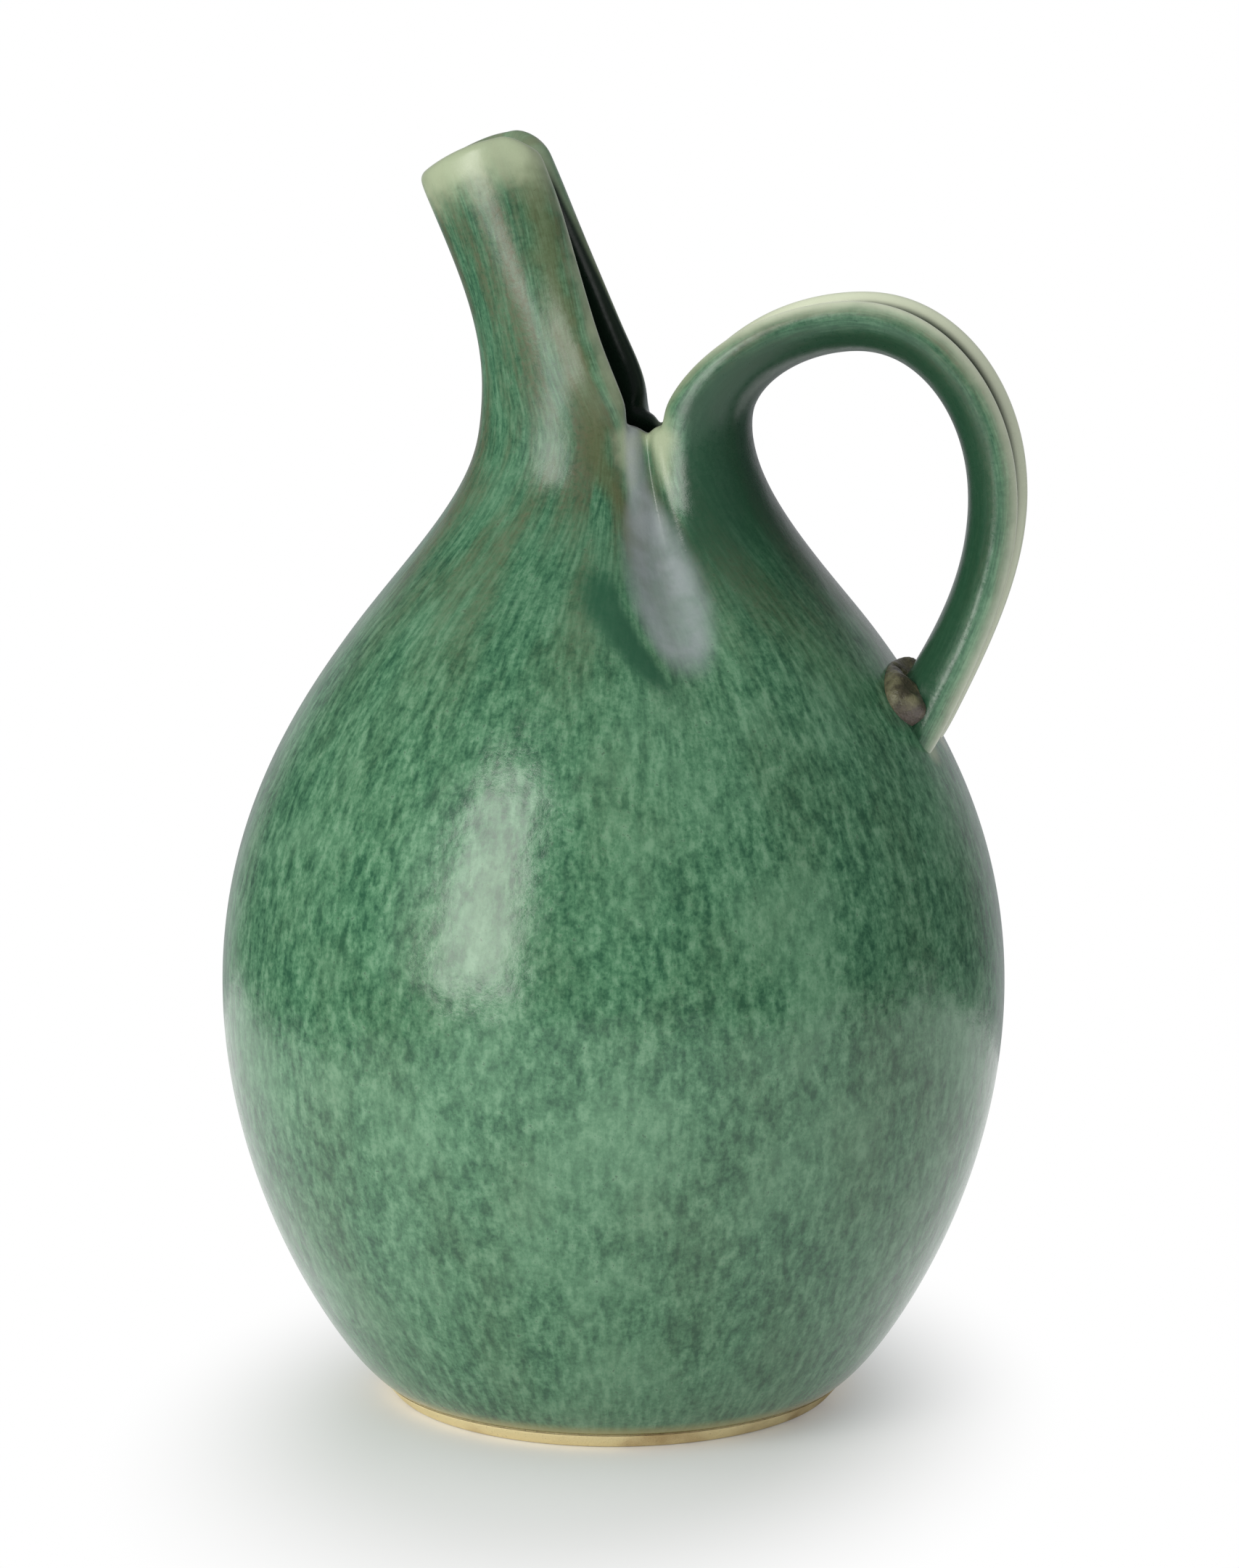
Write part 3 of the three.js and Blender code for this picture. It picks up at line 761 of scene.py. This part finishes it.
def build_cage():
    """The whole sheet, and the crest of its free edge"""
    cage = Cage()
    outer_rim, inner_rim = add_body(cage)
    below = [[i - COLUMNS for i in row] for row in (outer_rim, inner_rim)]
    spout_shares = np.linspace(0, 1, SPOUT_ROWS + 1)[1:]
    strap_places = np.linspace(0, STRAP_CURVES, STRAP_CURVES * STRAP_ROWS_PER_CURVE + 1)[1:]
    spout_columns = slice(0, SPOUT_COLUMNS)
    strap_columns = slice(STRAP_FIRST, NEAR_WAIST)
    spout_root = [row[spout_columns] for row in (outer_rim, inner_rim)]
    strap_root = [row[strap_columns] for row in (outer_rim, inner_rim)]
    spout_sections = [spout_section(share) for share in spout_shares]
    strap_sections = [strap_section(place) for place in strap_places]
    spout = add_branch(cage, spout_root, spout_sections, spout_columns, SPOUT_RISE, SPOUT)
    strap = add_branch(cage, strap_root, strap_sections, strap_columns, STRAP_LENGTH, HANDLE)
    walk = edge_walk(spout, strap, (outer_rim, inner_rim, *below))
    return cage, add_lips(cage, walk)


def smoothed(cage):
    """Mesh of the cage after subdivision, in metres. Each face's material index is its region."""
    mesh = bpy.data.meshes.new("sheet")
    mesh.from_pydata((np.array(cage.points) * MM).tolist(), [], cage.faces)
    mesh.polygons.foreach_set("material_index", cage.regions)
    runs = mesh.attributes.new("flow", "FLOAT_VECTOR", "POINT")
    runs.data.foreach_set("vector", (np.array(cage.flows) * MM).ravel())
    insides = mesh.attributes.new("inside", "FLOAT", "POINT")
    insides.data.foreach_set("value", np.array(cage.insides, float))
    return subdivided(mesh)


def subdivided(cage_mesh):
    """Smooth mesh from a cage, with its attributes"""
    holder = bpy.data.objects.new("holder", cage_mesh)
    bpy.context.collection.objects.link(holder)
    smoothing = holder.modifiers.new("smoothing", "SUBSURF")
    smoothing.levels = SMOOTHING_LEVELS
    smoothing.render_levels = SMOOTHING_LEVELS
    evaluated = holder.evaluated_get(bpy.context.evaluated_depsgraph_get())
    mesh = bpy.data.meshes.new_from_object(evaluated)
    bpy.data.objects.remove(holder)
    bpy.data.meshes.remove(cage_mesh)
    return mesh


def ridge_points():
    """Points down the four ridges of the neck, below the lips, in the form of the lips' crest"""
    ends = [0, SPOUT_COLUMNS - 1, STRAP_FIRST, NEAR_WAIST - 1]
    ridges = []
    for height in even_heights(SEAM_HEIGHT, RIM_ROW_HEIGHT, RIDGE_ROWS):
        ring = body_ring(RIM_OUTER, OUTSIDE, NECK_RADIUS, height)[ends]
        ridges += [(*point, RIDGE_FADE * (RIM_ROW_HEIGHT - height), 1) for point in ring]
    return np.array(ridges)


def dense(crest):
    """The crest with more points between those of its neighbours that lie close together"""
    rows = [crest]
    following = np.roll(crest, -1, axis=0)
    near = np.linalg.norm(following[:, :3] - crest[:, :3], axis=1) < CREST_GAP
    for step in range(1, CREST_STEPS):
        rows.append(mix(crest, following, step / CREST_STEPS)[near])
    return np.concatenate(rows)


def edge_distance(vertices, crest):
    """Distance in millimetres of each vertex from an edge or the ridges that run out of it"""
    nearest = np.full(len(vertices), np.inf)
    for x, y, z, added, factor in np.concatenate([dense(crest), ridge_points()]):
        distance = factor * np.linalg.norm(vertices - (x, y, z), axis=1) + added
        nearest = np.minimum(nearest, distance)
    return nearest


def dimple_reflection_and_shade(vertices):
    """Share of the painted reflection in the dimple at each vertex, and less than 0 in the painted shade of
    the rim beside it
    """
    x, y, height = vertices.T
    aside = (np.arctan2(np.abs(y), x) - math.radians(DIMPLE_BEARING)) * np.hypot(x, y)
    place = aside / np.interp(height, DIMPLE_REFLECTION_HEIGHTS, DIMPLE_REFLECTION_HALF_WIDTHS)
    share = 1 - smoothstep(np.abs(place), *DIMPLE_REFLECTION_EDGE)
    share = share * smoothstep(height, *DIMPLE_REFLECTION_FOOT)
    low, low_full, high_full, high = DIMPLE_SHADE_RIM_HEIGHTS
    level = smoothstep(height, low, low_full) * (1 - smoothstep(height, high_full, high))
    rim = smoothstep(place, *DIMPLE_SHADE_RIM[:2]) * (1 - smoothstep(place, *DIMPLE_SHADE_RIM[2:]))
    return share - (1 - share) * rim * level


def glaze_values(sheet, crest):
    """What the glaze colour depends on at each vertex of the sheet, with the dimple's painted reflection
    and shade
    """
    points = vertex_array(sheet, "co") / MM
    insides = np.empty(len(points))
    sheet.attributes["inside"].data.foreach_get("value", insides)
    factors = crest[:, -1]
    lips = crest[factors == 1]
    return {"edge_mm": edge_distance(points, crest), "lip_mm": edge_distance(points, lips),
            "dimple_reflection_and_shade": dimple_reflection_and_shade(points), "inside": insides}


def vertex_array(sheet, name):
    values = np.empty(len(sheet.vertices) * 3)
    sheet.vertices.foreach_get(name, values)
    return values.reshape(-1, 3)


def cap_seams(mesh):
    """Closes the cut edges of a piece, which lie hidden against its neighbours"""
    shape = bmesh.new()
    shape.from_mesh(mesh)
    for height in (SEAM_HEIGHT * MM, RIM_ROW_HEIGHT * MM):
        edges = [edge for edge in shape.edges if edge.is_boundary
                 and abs(edge.verts[0].co.z - height) < SEAM_REACH * MM]
        if edges:
            bmesh.ops.triangle_fill(shape, edges=edges, use_beauty=True, normal=(0, 0, 1))
    bmesh.ops.recalc_face_normals(shape, faces=shape.faces)
    shape.to_mesh(mesh)
    shape.free()


def cut_piece(sheet, region, values):
    """The faces of one region of the sheet as a closed piece that shades as the whole sheet does"""
    corners = np.empty(len(sheet.loops), int)
    sheet.loops.foreach_get("vertex_index", corners)
    faces = [tuple(corners[p.loop_start:p.loop_start + p.loop_total])
             for p in sheet.polygons if p.material_index == region]
    used = np.unique(np.concatenate(faces))
    place = np.full(len(sheet.vertices), -1)
    place[used] = np.arange(len(used))
    runs = np.empty(len(sheet.vertices) * 3)
    sheet.attributes["flow"].data.foreach_get("vector", runs)
    mesh = bpy.data.meshes.new(REGIONS[region] + "_clay")
    points = vertex_array(sheet, "co")[used]
    mesh.from_pydata(points.tolist(), [], [place[list(face)].tolist() for face in faces])
    cap_seams(mesh)
    mesh.shade_smooth()
    mesh.normals_split_custom_set_from_vertices(vertex_array(sheet, "normal")[used].tolist())
    kept_runs = mesh.attributes.new("flow", "FLOAT_VECTOR", "POINT")
    kept_runs.data.foreach_set("vector", runs.reshape(-1, 3)[used].ravel())
    for name, value in values.items():
        mesh.attributes.new(name, "FLOAT", "POINT").data.foreach_set("value", value[used])
    return add_object(REGIONS[region] + "_glazed", mesh)


def add_object(name, mesh):
    piece = bpy.data.objects.new(name, mesh)
    bpy.context.collection.objects.link(piece)
    return piece


def stand_for(piece, node, material):
    """Gives a piece its material and lets it stand for a solid"""
    piece.data.materials.clear()
    piece.data.materials.append(material)
    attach(piece, "root")
    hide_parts(node)


def lathe(name, outline, turns):
    """Closed ring turned from an outline of (radius, height)"""
    angles = 2 * np.pi * np.arange(turns) / turns
    points = [(r * math.cos(a), r * math.sin(a), z) for a in angles for r, z in outline]
    count = len(outline)
    faces = []
    for turn in range(turns):
        here = turn * count
        there = (turn + 1) % turns * count
        for i in range(count):
            j = (i + 1) % count
            faces.append((here + i, there + i, there + j, here + j))
    mesh = bpy.data.meshes.new(name)
    mesh.from_pydata((np.array(points) * MM).tolist(), [], faces)
    mesh.shade_smooth()
    return mesh


def rounded_outline(corners, radius, steps):
    """An outline whose corners are rounded with short curves"""
    corners = np.array(corners, float)
    outline = []
    for k, corner in enumerate(corners):
        before = corner + radius * unit(corners[k - 1] - corner)
        after = corner + radius * unit(corners[(k + 1) % len(corners)] - corner)
        for t in np.linspace(0, 1, steps):
            outline.append(mix(mix(before, corner, t), mix(corner, after, t), t))
    return outline


def foot_ring():
    """Turned foot of bare clay, tucked in a little under the belly"""
    inner = FOOT_RADIUS - FOOT_RING_WIDTH
    top = FOOT_HEIGHT + FOOT_EMBED
    corners = [(inner, 0), (FOOT_RADIUS, 0), (FOOT_RADIUS + FOOT_FLARE - FOOT_TUCK, FOOT_HEIGHT),
               (FOOT_RADIUS + FOOT_FLARE - FOOT_TUCK, top), (inner, top)]
    outline = rounded_outline(corners, FOOT_ROUNDING, FOOT_ROUNDING_STEPS)
    return add_object("foot_bare_clay", lathe("foot", outline, FOOT_TURNS))


def shoulder_frame(heights):
    """Radius of the body at some heights, and its outward direction as (radial, upward)"""
    radius = radius_at(OUTSIDE, heights)
    slope = radius_at(OUTSIDE, heights + SLOPE_STEP) - radius_at(OUTSIDE, heights - SLOPE_STEP)
    return radius, unit(np.stack([np.full_like(slope, 2 * SLOPE_STEP), -slope], axis=-1))


def handle_wad():
    """Lump of clay pressed on the shoulder around the end of the strap, and low under the strap"""
    tilt = np.linspace(-math.pi / 2, math.pi / 2, WAD_ROWS + 1)[:, None]
    turn = 2 * math.pi * np.arange(WAD_COLUMNS)[None, :] / WAD_COLUMNS
    across = WAD_HALF_WIDTH * np.cos(tilt) * np.cos(turn)
    heights = WAD_HEIGHT + WAD_HALF_HEIGHT * np.cos(tilt) * np.sin(turn)
    lump = WAD_LUMP * np.sin(WAD_LUMP_PITCH * (heights + across)) * np.cos(WAD_LUMP_PITCH * across)
    lump = lump - WAD_DIP * np.exp(-(across / WAD_DIP_WIDTH) ** 2)
    blunt = np.sign(tilt) * np.abs(np.sin(tilt)) ** WAD_BLUNTNESS
    out = np.where(tilt > 0, WAD_THICKNESS + lump, WAD_EMBED) * blunt
    radius, outwards = shoulder_frame(heights)
    bearing = across / radius
    reach = radius + out * outwards[..., 0]
    rise = heights + out * outwards[..., 1]
    points = np.stack([reach * np.cos(bearing), reach * np.sin(bearing), rise], axis=-1)
    return add_object("wad_brown_glaze", ball_mesh("wad", points))


def ball_mesh(name, rows):
    """Closed mesh over rings of points, of which the first and the last are single places"""
    count = rows.shape[1]
    points = np.concatenate([rows[0, :1], rows[1:-1].reshape(-1, 3), rows[-1, :1]])
    last = len(points) - 1
    faces = []
    for i in range(count):
        j = (i + 1) % count
        faces.append((0, 1 + j, 1 + i))
        for k in range(len(rows) - 3):
            low = 1 + k * count
            faces.append((low + i, low + j, low + count + j, low + count + i))
        faces.append((last - count + i, last - count + j, last))
    mesh = bpy.data.meshes.new(name)
    mesh.from_pydata((points * MM).tolist(), [], faces)
    mesh.shade_smooth()
    return mesh


class Nodes:
    """Short way to write a node tree: inputs are numbers, colours or other nodes' outputs"""

    def __init__(self, tree):
        self.tree = tree
        self.tree.nodes.clear()

    def add(self, kind, inputs=None, **settings):
        node = self.tree.nodes.new(kind)
        for name, value in settings.items():
            setattr(node, name, value)
        for name, value in (inputs or {}).items():
            if isinstance(value, bpy.types.NodeSocket):
                self.tree.links.new(value, node.inputs[name])
            else:
                node.inputs[name].default_value = value
        return node

    def noise(self, vector, scale, detail, roughness):
        inputs = {"Vector": vector, "Scale": scale, "Detail": detail, "Roughness": roughness}
        return self.add("ShaderNodeTexNoise", inputs).outputs["Fac"]

    def ramp(self, value, low, high, start=0, end=1):
        inputs = {"Value": value, "From Min": low, "From Max": high, "To Min": start, "To Max": end}
        return self.add("ShaderNodeMapRange", inputs, interpolation_type="SMOOTHSTEP").outputs["Result"]

    def math(self, operation, first, second):
        return self.add("ShaderNodeMath", {0: first, 1: second}, operation=operation).outputs[0]

    def colour(self, share, first, second):
        return self.add("ShaderNodeMix", {0: share, 6: first, 7: second}, data_type="RGBA").outputs[2]

    def blend(self, share, first, second):
        return self.add("ShaderNodeMix", {0: share, 2: first, 3: second}, data_type="FLOAT").outputs[0]

    def stretched(self, vector, scale):
        return self.add("ShaderNodeVectorMath", {0: vector, 1: scale}, operation="MULTIPLY").outputs[0]

    def attribute(self, name):
        return self.add("ShaderNodeAttribute", attribute_name=name)


def new_material(name):
    material = bpy.data.materials.new(name)
    material.use_nodes = True
    return material, Nodes(material.node_tree)


def finish_material(nodes, colour, roughness, relief, relief_height):
    """Shader and output of a fired surface, with its relief"""
    bump = nodes.add("ShaderNodeBump", {"Height": relief, "Distance": relief_height})
    shader = nodes.add("ShaderNodeBsdfPrincipled", {
        "Base Color": colour, "Roughness": roughness, "Normal": bump.outputs[0], "IOR": GLAZE_IOR})
    nodes.add("ShaderNodeOutputMaterial", {"Surface": shader.outputs[0]})


def mottled(nodes, place, height, flow_vector, specks):
    """Copper green: dark to light in blots, specks and short runs, paler in clouds, deeper high up"""
    blots = nodes.noise(place, *BLOT_NOISE)
    runs = nodes.noise(nodes.stretched(flow_vector, RUN_STRETCH), *RUN_NOISE)
    clouds = nodes.noise(place, *CLOUD_NOISE)
    mottle = 0.0
    for part, share in zip((specks, blots, runs, clouds), MOTTLE_SHARES):
        mottle = nodes.math("ADD", mottle, nodes.math("MULTIPLY", part, share))
    colour = nodes.colour(nodes.ramp(mottle, *DARK_TO_MID), GLAZE_DARK, GLAZE_MID)
    colour = nodes.colour(nodes.ramp(mottle, *MID_TO_LIGHT), colour, GLAZE_LIGHT)
    colour = nodes.colour(nodes.ramp(clouds, *CLOUD_REACH, 0, CLOUD_STRENGTH), colour, GLAZE_LIGHT)
    colour = nodes.colour(nodes.ramp(height, *DEEP_HEIGHT, 0, DEEP_STRENGTH), colour, GLAZE_DARK)
    return nodes.colour(nodes.ramp(specks, *SPECK_REACH, 0, SPECK_STRENGTH), colour, GLAZE_SPECK)


def browned(nodes, colour, flow_vector, height, specks):
    """Grainy brown streaks in the green, more of them towards the neck"""
    patches = nodes.noise(nodes.stretched(flow_vector, BROWN_STRETCH), *BROWN_NOISE)
    amount = nodes.math("MULTIPLY", nodes.ramp(height, *BROWN_HEIGHT, *BROWN_STRENGTH),
                        nodes.ramp(patches, *BROWN_REACH))
    amount = nodes.math("MULTIPLY", amount, nodes.ramp(specks, *NOISE_RANGE, *BROWN_GRAIN))
    return nodes.colour(amount, colour, GLAZE_BROWN)


def edged(nodes, colour, place, flow_vector):
    """Pale edges, an olive line beside them on the spout, darker pooled glaze with painted shade on the
    handle, painted shade inside, and the dimple's painted reflection and shade
    """
    edge = nodes.attribute("edge_mm").outputs["Fac"]
    inside = nodes.attribute("inside").outputs["Fac"]
    flow_parts = nodes.add("ShaderNodeSeparateXYZ", {0: flow_vector}).outputs
    on_handle = nodes.ramp(flow_parts[0], *HANDLE_SIDE)
    off_handle = nodes.ramp(flow_parts[0], *HANDLE_SIDE, 1, 0)
    unevenness = nodes.noise(place, *WANDER_NOISE)
    wander = nodes.ramp(unevenness, *NOISE_RANGE, -WANDER_MM, WANDER_MM)
    wander = nodes.math("MULTIPLY", wander, nodes.blend(on_handle, 1.0, HANDLE_WANDER))
    edge = nodes.math("ADD", edge, wander)
    # Darker pooled glaze on the handle away from its edges, partly painted shade
    pool_and_shade = nodes.math("MULTIPLY", nodes.ramp(flow_parts[2], *POOL_AND_SHADE_RISE, 0, POOL_AND_SHADE_STRENGTH),
                      nodes.ramp(edge, *POOL_AND_SHADE_EDGE))
    colour = nodes.colour(nodes.math("MULTIPLY", pool_and_shade, on_handle), colour, GLAZE_POOL_AND_SHADE)
    lip = nodes.math("ADD", nodes.attribute("lip_mm").outputs["Fac"], wander)
    olive = nodes.math("MULTIPLY", nodes.ramp(lip, *OLIVE_START, 0, OLIVE_STRENGTH),
                       nodes.ramp(lip, *OLIVE_END, 1, 0))
    colour = nodes.colour(nodes.math("MULTIPLY", olive, off_handle), colour, GLAZE_OLIVE)
    depth = nodes.add("ShaderNodeSeparateXYZ", {0: place}).outputs[1]
    near_lip = nodes.math("MULTIPLY", nodes.ramp(edge, *SPOUT_PALE_REACH, PALE_STRENGTH, 0),
                          nodes.ramp(depth, *FAR_LIP, 1, FAR_LIP_STRENGTH))
    pale = nodes.blend(on_handle, near_lip, nodes.ramp(edge, *HANDLE_PALE_REACH, PALE_STRENGTH, 0))
    ridge = nodes.math("MULTIPLY", on_handle, nodes.ramp(flow_parts[2], *RIDGE_START))
    colour = nodes.colour(pale, colour, nodes.colour(ridge, GLAZE_PALE, GLAZE_RIDGE))
    # Painted shade in the rim beside the dimple, in the dark glaze colour, and the painted reflection of a
    # light in the dimple
    dimple_light_share = nodes.attribute("dimple_reflection_and_shade").outputs["Fac"]
    colour = nodes.colour(nodes.ramp(dimple_light_share, -1, 0, DIMPLE_SHADE_STRENGTH, 0), colour, GLAZE_DARK)
    painted_reflection_share = nodes.math("MULTIPLY", nodes.ramp(dimple_light_share, 0, 1, 0, DIMPLE_REFLECTION_STRENGTH),
                      nodes.ramp(unevenness, *NOISE_RANGE, *DIMPLE_REFLECTION_CLOUD))
    colour = nodes.colour(painted_reflection_share, colour, PAINTED_REFLECTION_COLOUR)
    # Painted shade, near black, on the inside of the body, neck and spout below the mouth, and in the
    # handle's gutter
    spout_inside_shade = nodes.math("MULTIPLY", nodes.ramp(inside, *SPOUT_INSIDE_SHADE_REACH),
                          nodes.ramp(flow_parts[2], *MOUTH_INSIDE_SHADE_FADE, 1, 0))
    inside_shade = nodes.blend(on_handle, spout_inside_shade, nodes.ramp(inside, *HANDLE_INSIDE_SHADE_REACH))
    return nodes.colour(inside_shade, colour, INSIDE_GLAZE_AND_SHADE)


def green_glaze():
    """Mottled green glaze that breaks pale over edges and stops just above the foot, with painted shade
    inside and on the handle and a painted reflection in the dimple
    """
    material, nodes = new_material("green_glaze")
    place = nodes.add("ShaderNodeTexCoord").outputs["Object"]
    height = nodes.add("ShaderNodeSeparateXYZ", {0: place}).outputs[2]
    flow_vector = nodes.attribute("flow").outputs["Vector"]
    specks = nodes.noise(place, *SPECK_NOISE)
    colour = mottled(nodes, place, height, flow_vector, specks)
    colour = browned(nodes, colour, flow_vector, height, specks)
    colour = edged(nodes, colour, place, flow_vector)
    colour = nodes.colour(nodes.ramp(height, *FOOT_LINE, FOOT_LINE_STRENGTH, 0), colour, GLAZE_THIN)
    colour = nodes.colour(nodes.ramp(height, *BARE_LINE, 1, 0), colour, CLAY_PALE)
    roughness = nodes.math("ADD", nodes.ramp(specks, *NOISE_RANGE, *GLAZE_ROUGHNESS),
                           nodes.ramp(height, *DULL_HEIGHT, 0, DULLNESS))
    swell = nodes.noise(place, *SWELL_NOISE)
    swell = nodes.math("ADD", swell, nodes.math("MULTIPLY", specks, SPECK_RELIEF))
    finish_material(nodes, colour, roughness, swell, GLAZE_RELIEF)
    return material


def brown_glaze():
    """Thin olive-brown glaze over the wad, purple-grey low down"""
    material, nodes = new_material("brown_glaze")
    place = nodes.add("ShaderNodeTexCoord").outputs["Object"]
    height = nodes.add("ShaderNodeSeparateXYZ", {0: place}).outputs[2]
    blots = nodes.noise(place, *WAD_BLOT_NOISE)
    grains = nodes.noise(place, *WAD_GRAIN_NOISE)
    colour = nodes.colour(nodes.ramp(blots, *WAD_BLOT_REACH), WAD_DARK, WAD_OLIVE)
    purple = nodes.ramp(height, *WAD_PURPLE_HEIGHT, WAD_PURPLE_STRENGTH, 0)
    colour = nodes.colour(purple, colour, WAD_PURPLE)
    colour = nodes.colour(nodes.ramp(grains, *WAD_SPECK_REACH, 0, WAD_SPECK_STRENGTH), colour, WAD_DARK)
    roughness = nodes.ramp(blots, *NOISE_RANGE, *WAD_ROUGHNESS)
    relief = nodes.math("ADD", blots, nodes.math("MULTIPLY", grains, WAD_GRAIN_RELIEF))
    finish_material(nodes, colour, roughness, relief, WAD_RELIEF)
    return material


def bare_clay():
    """Unglazed stoneware: buff with iron specks, toasted brown in patches"""
    material, nodes = new_material("bare_clay")
    place = nodes.add("ShaderNodeTexCoord").outputs["Object"]
    patches = nodes.noise(place, *CLAY_PATCH_NOISE)
    grains = nodes.noise(place, *CLAY_GRAIN_NOISE)
    colour = nodes.colour(nodes.ramp(patches, *CLAY_TOASTED_REACH), CLAY_PALE, CLAY_TOASTED)
    colour = nodes.colour(nodes.ramp(grains, *CLAY_SPECK_REACH, 0, CLAY_SPECK_STRENGTH), colour, CLAY_SPECK)
    roughness = nodes.ramp(grains, *NOISE_RANGE, *CLAY_ROUGHNESS)
    finish_material(nodes, colour, roughness, grains, CLAY_RELIEF)
    return material


def white_floor():
    """Matt white table that keeps the shadow near the pitcher and runs out to plain white"""
    material, nodes = new_material("floor_white")
    material.cycles.emission_sampling = "NONE"
    place = nodes.add("ShaderNodeTexCoord").outputs["Object"]
    moved = nodes.add("ShaderNodeVectorMath", {0: place, 1: FLOOR_SHADOW_OFFSET}, operation="ADD")
    flat = nodes.stretched(moved.outputs[0], FLOOR_SHADOW_STRETCH)
    distance = nodes.add("ShaderNodeVectorMath", {0: flat}, operation="LENGTH").outputs["Value"]
    light = nodes.add("ShaderNodeLightPath").outputs
    seen = nodes.math("ADD", light["Is Camera Ray"], light["Is Glossy Ray"])
    seen = nodes.math("MINIMUM", nodes.math("ADD", seen, light["Is Transmission Ray"]), 1.0)
    white = nodes.math("MULTIPLY", seen, nodes.ramp(distance, *FLOOR_FADE, FLOOR_NEAR_WHITE, 1))
    matt = nodes.add("ShaderNodeBsdfDiffuse", {"Color": FLOOR_COLOUR})
    glow = nodes.add("ShaderNodeEmission", {"Color": (1, 1, 1, 1), "Strength": 1})
    mixed = nodes.add("ShaderNodeMixShader", {0: white, 1: matt.outputs[0], 2: glow.outputs[0]})
    nodes.add("ShaderNodeOutputMaterial", {"Surface": mixed.outputs[0]})
    return material


def add_floor():
    mesh = bpy.data.meshes.new("floor")
    left, right = FLOOR_X
    front, back = FLOOR_Y
    corners = [(left, front, 0), (right, front, 0), (right, back, 0), (left, back, 0)]
    mesh.from_pydata(corners, [], [(0, 1, 2, 3)])
    floor = add_object("floor", mesh)
    mesh.materials.append(white_floor())


def add_world():
    """White for the camera. The glaze mirrors a white backdrop behind and a darker room in front."""
    world = bpy.data.worlds.new("studio")
    bpy.context.scene.world = world
    world.use_nodes = True
    world.cycles.sampling_method = "NONE"
    nodes = Nodes(world.node_tree)
    direction = nodes.add("ShaderNodeTexCoord").outputs["Generated"]
    parts = nodes.add("ShaderNodeSeparateXYZ", {0: direction}).outputs
    light = nodes.add("ShaderNodeLightPath").outputs
    facing = nodes.add("ShaderNodeVectorMath", {0: direction, 1: BACKDROP_DIRECTION},
                       operation="DOT_PRODUCT")
    backdrop = nodes.ramp(facing.outputs["Value"], *BACKDROP_EDGE)
    mirrored = nodes.colour(backdrop, ROOM_COLOUR, BACKDROP_COLOUR)
    ambient = nodes.colour(nodes.ramp(parts[2], *AMBIENT_HEIGHT), AMBIENT_LOW, AMBIENT_HIGH)
    colour = nodes.colour(light["Is Glossy Ray"], ambient, mirrored)
    seen = nodes.math("ADD", light["Is Camera Ray"], light["Is Transmission Ray"])
    colour = nodes.colour(seen, colour, (1, 1, 1, 1))
    background = nodes.add("ShaderNodeBackground", {"Color": colour, "Strength": 1})
    nodes.add("ShaderNodeOutputWorld", {"Surface": background.outputs[0]})


def aim(thing, target):
    """Turns a light or camera at a place towards a target"""
    direction = Vector(target) - thing.location
    thing.rotation_euler = direction.to_track_quat("-Z", "Y").to_euler()


def add_panel(name, azimuth, distance, low, high, width, brightness):
    """Upright softbox: azimuth in degrees from -Y towards +X, brightness against white paper"""
    light = bpy.data.lights.new(name, "AREA")
    light.shape = "RECTANGLE"
    light.size = width
    light.size_y = high - low
    light.energy = brightness * math.pi * light.size * light.size_y
    light.color = KEY_COLOUR
    lamp = bpy.data.objects.new(name, light)
    bpy.context.collection.objects.link(lamp)
    angle = math.radians(azimuth)
    lamp.location = (distance * math.sin(angle), -distance * math.cos(angle), (low + high) / 2)
    aim(lamp, (0, 0, lamp.location.z))


def add_camera():
    """Camera of the photograph, fitted to the outline of the body"""
    data = bpy.data.cameras.new("photo_camera")
    data.sensor_fit = "AUTO"
    data.sensor_width = CAMERA_SENSOR
    data.lens = CAMERA_LENS
    data.shift_x = CAMERA_SHIFT_X
    camera = bpy.data.objects.new("photo_camera", data)
    bpy.context.collection.objects.link(camera)
    angle = math.radians(CAMERA_AZIMUTH)
    across = CAMERA_DISTANCE * math.sin(angle)
    camera.location = (across, -CAMERA_DISTANCE * math.cos(angle), CAMERA_HEIGHT)
    aim(camera, CAMERA_TARGET)
    bpy.context.scene.camera = camera


bpy.context.scene.view_settings.view_transform = "Standard"
add_camera()
add_floor()
add_world()
add_panel("key_softbox", **KEY_SOFTBOX)
add_panel("key_spill", **KEY_SPILL)
cage, crest = build_cage()
sheet = smoothed(cage)
values = glaze_values(sheet, crest)
glaze = green_glaze()
for region, node in enumerate(REGIONS):
    stand_for(cut_piece(sheet, region, values), node, glaze)
bpy.data.meshes.remove(sheet)
stand_for(foot_ring(), "foot_ring", bare_clay())
stand_for(handle_wad(), "handle_wad", brown_glaze())
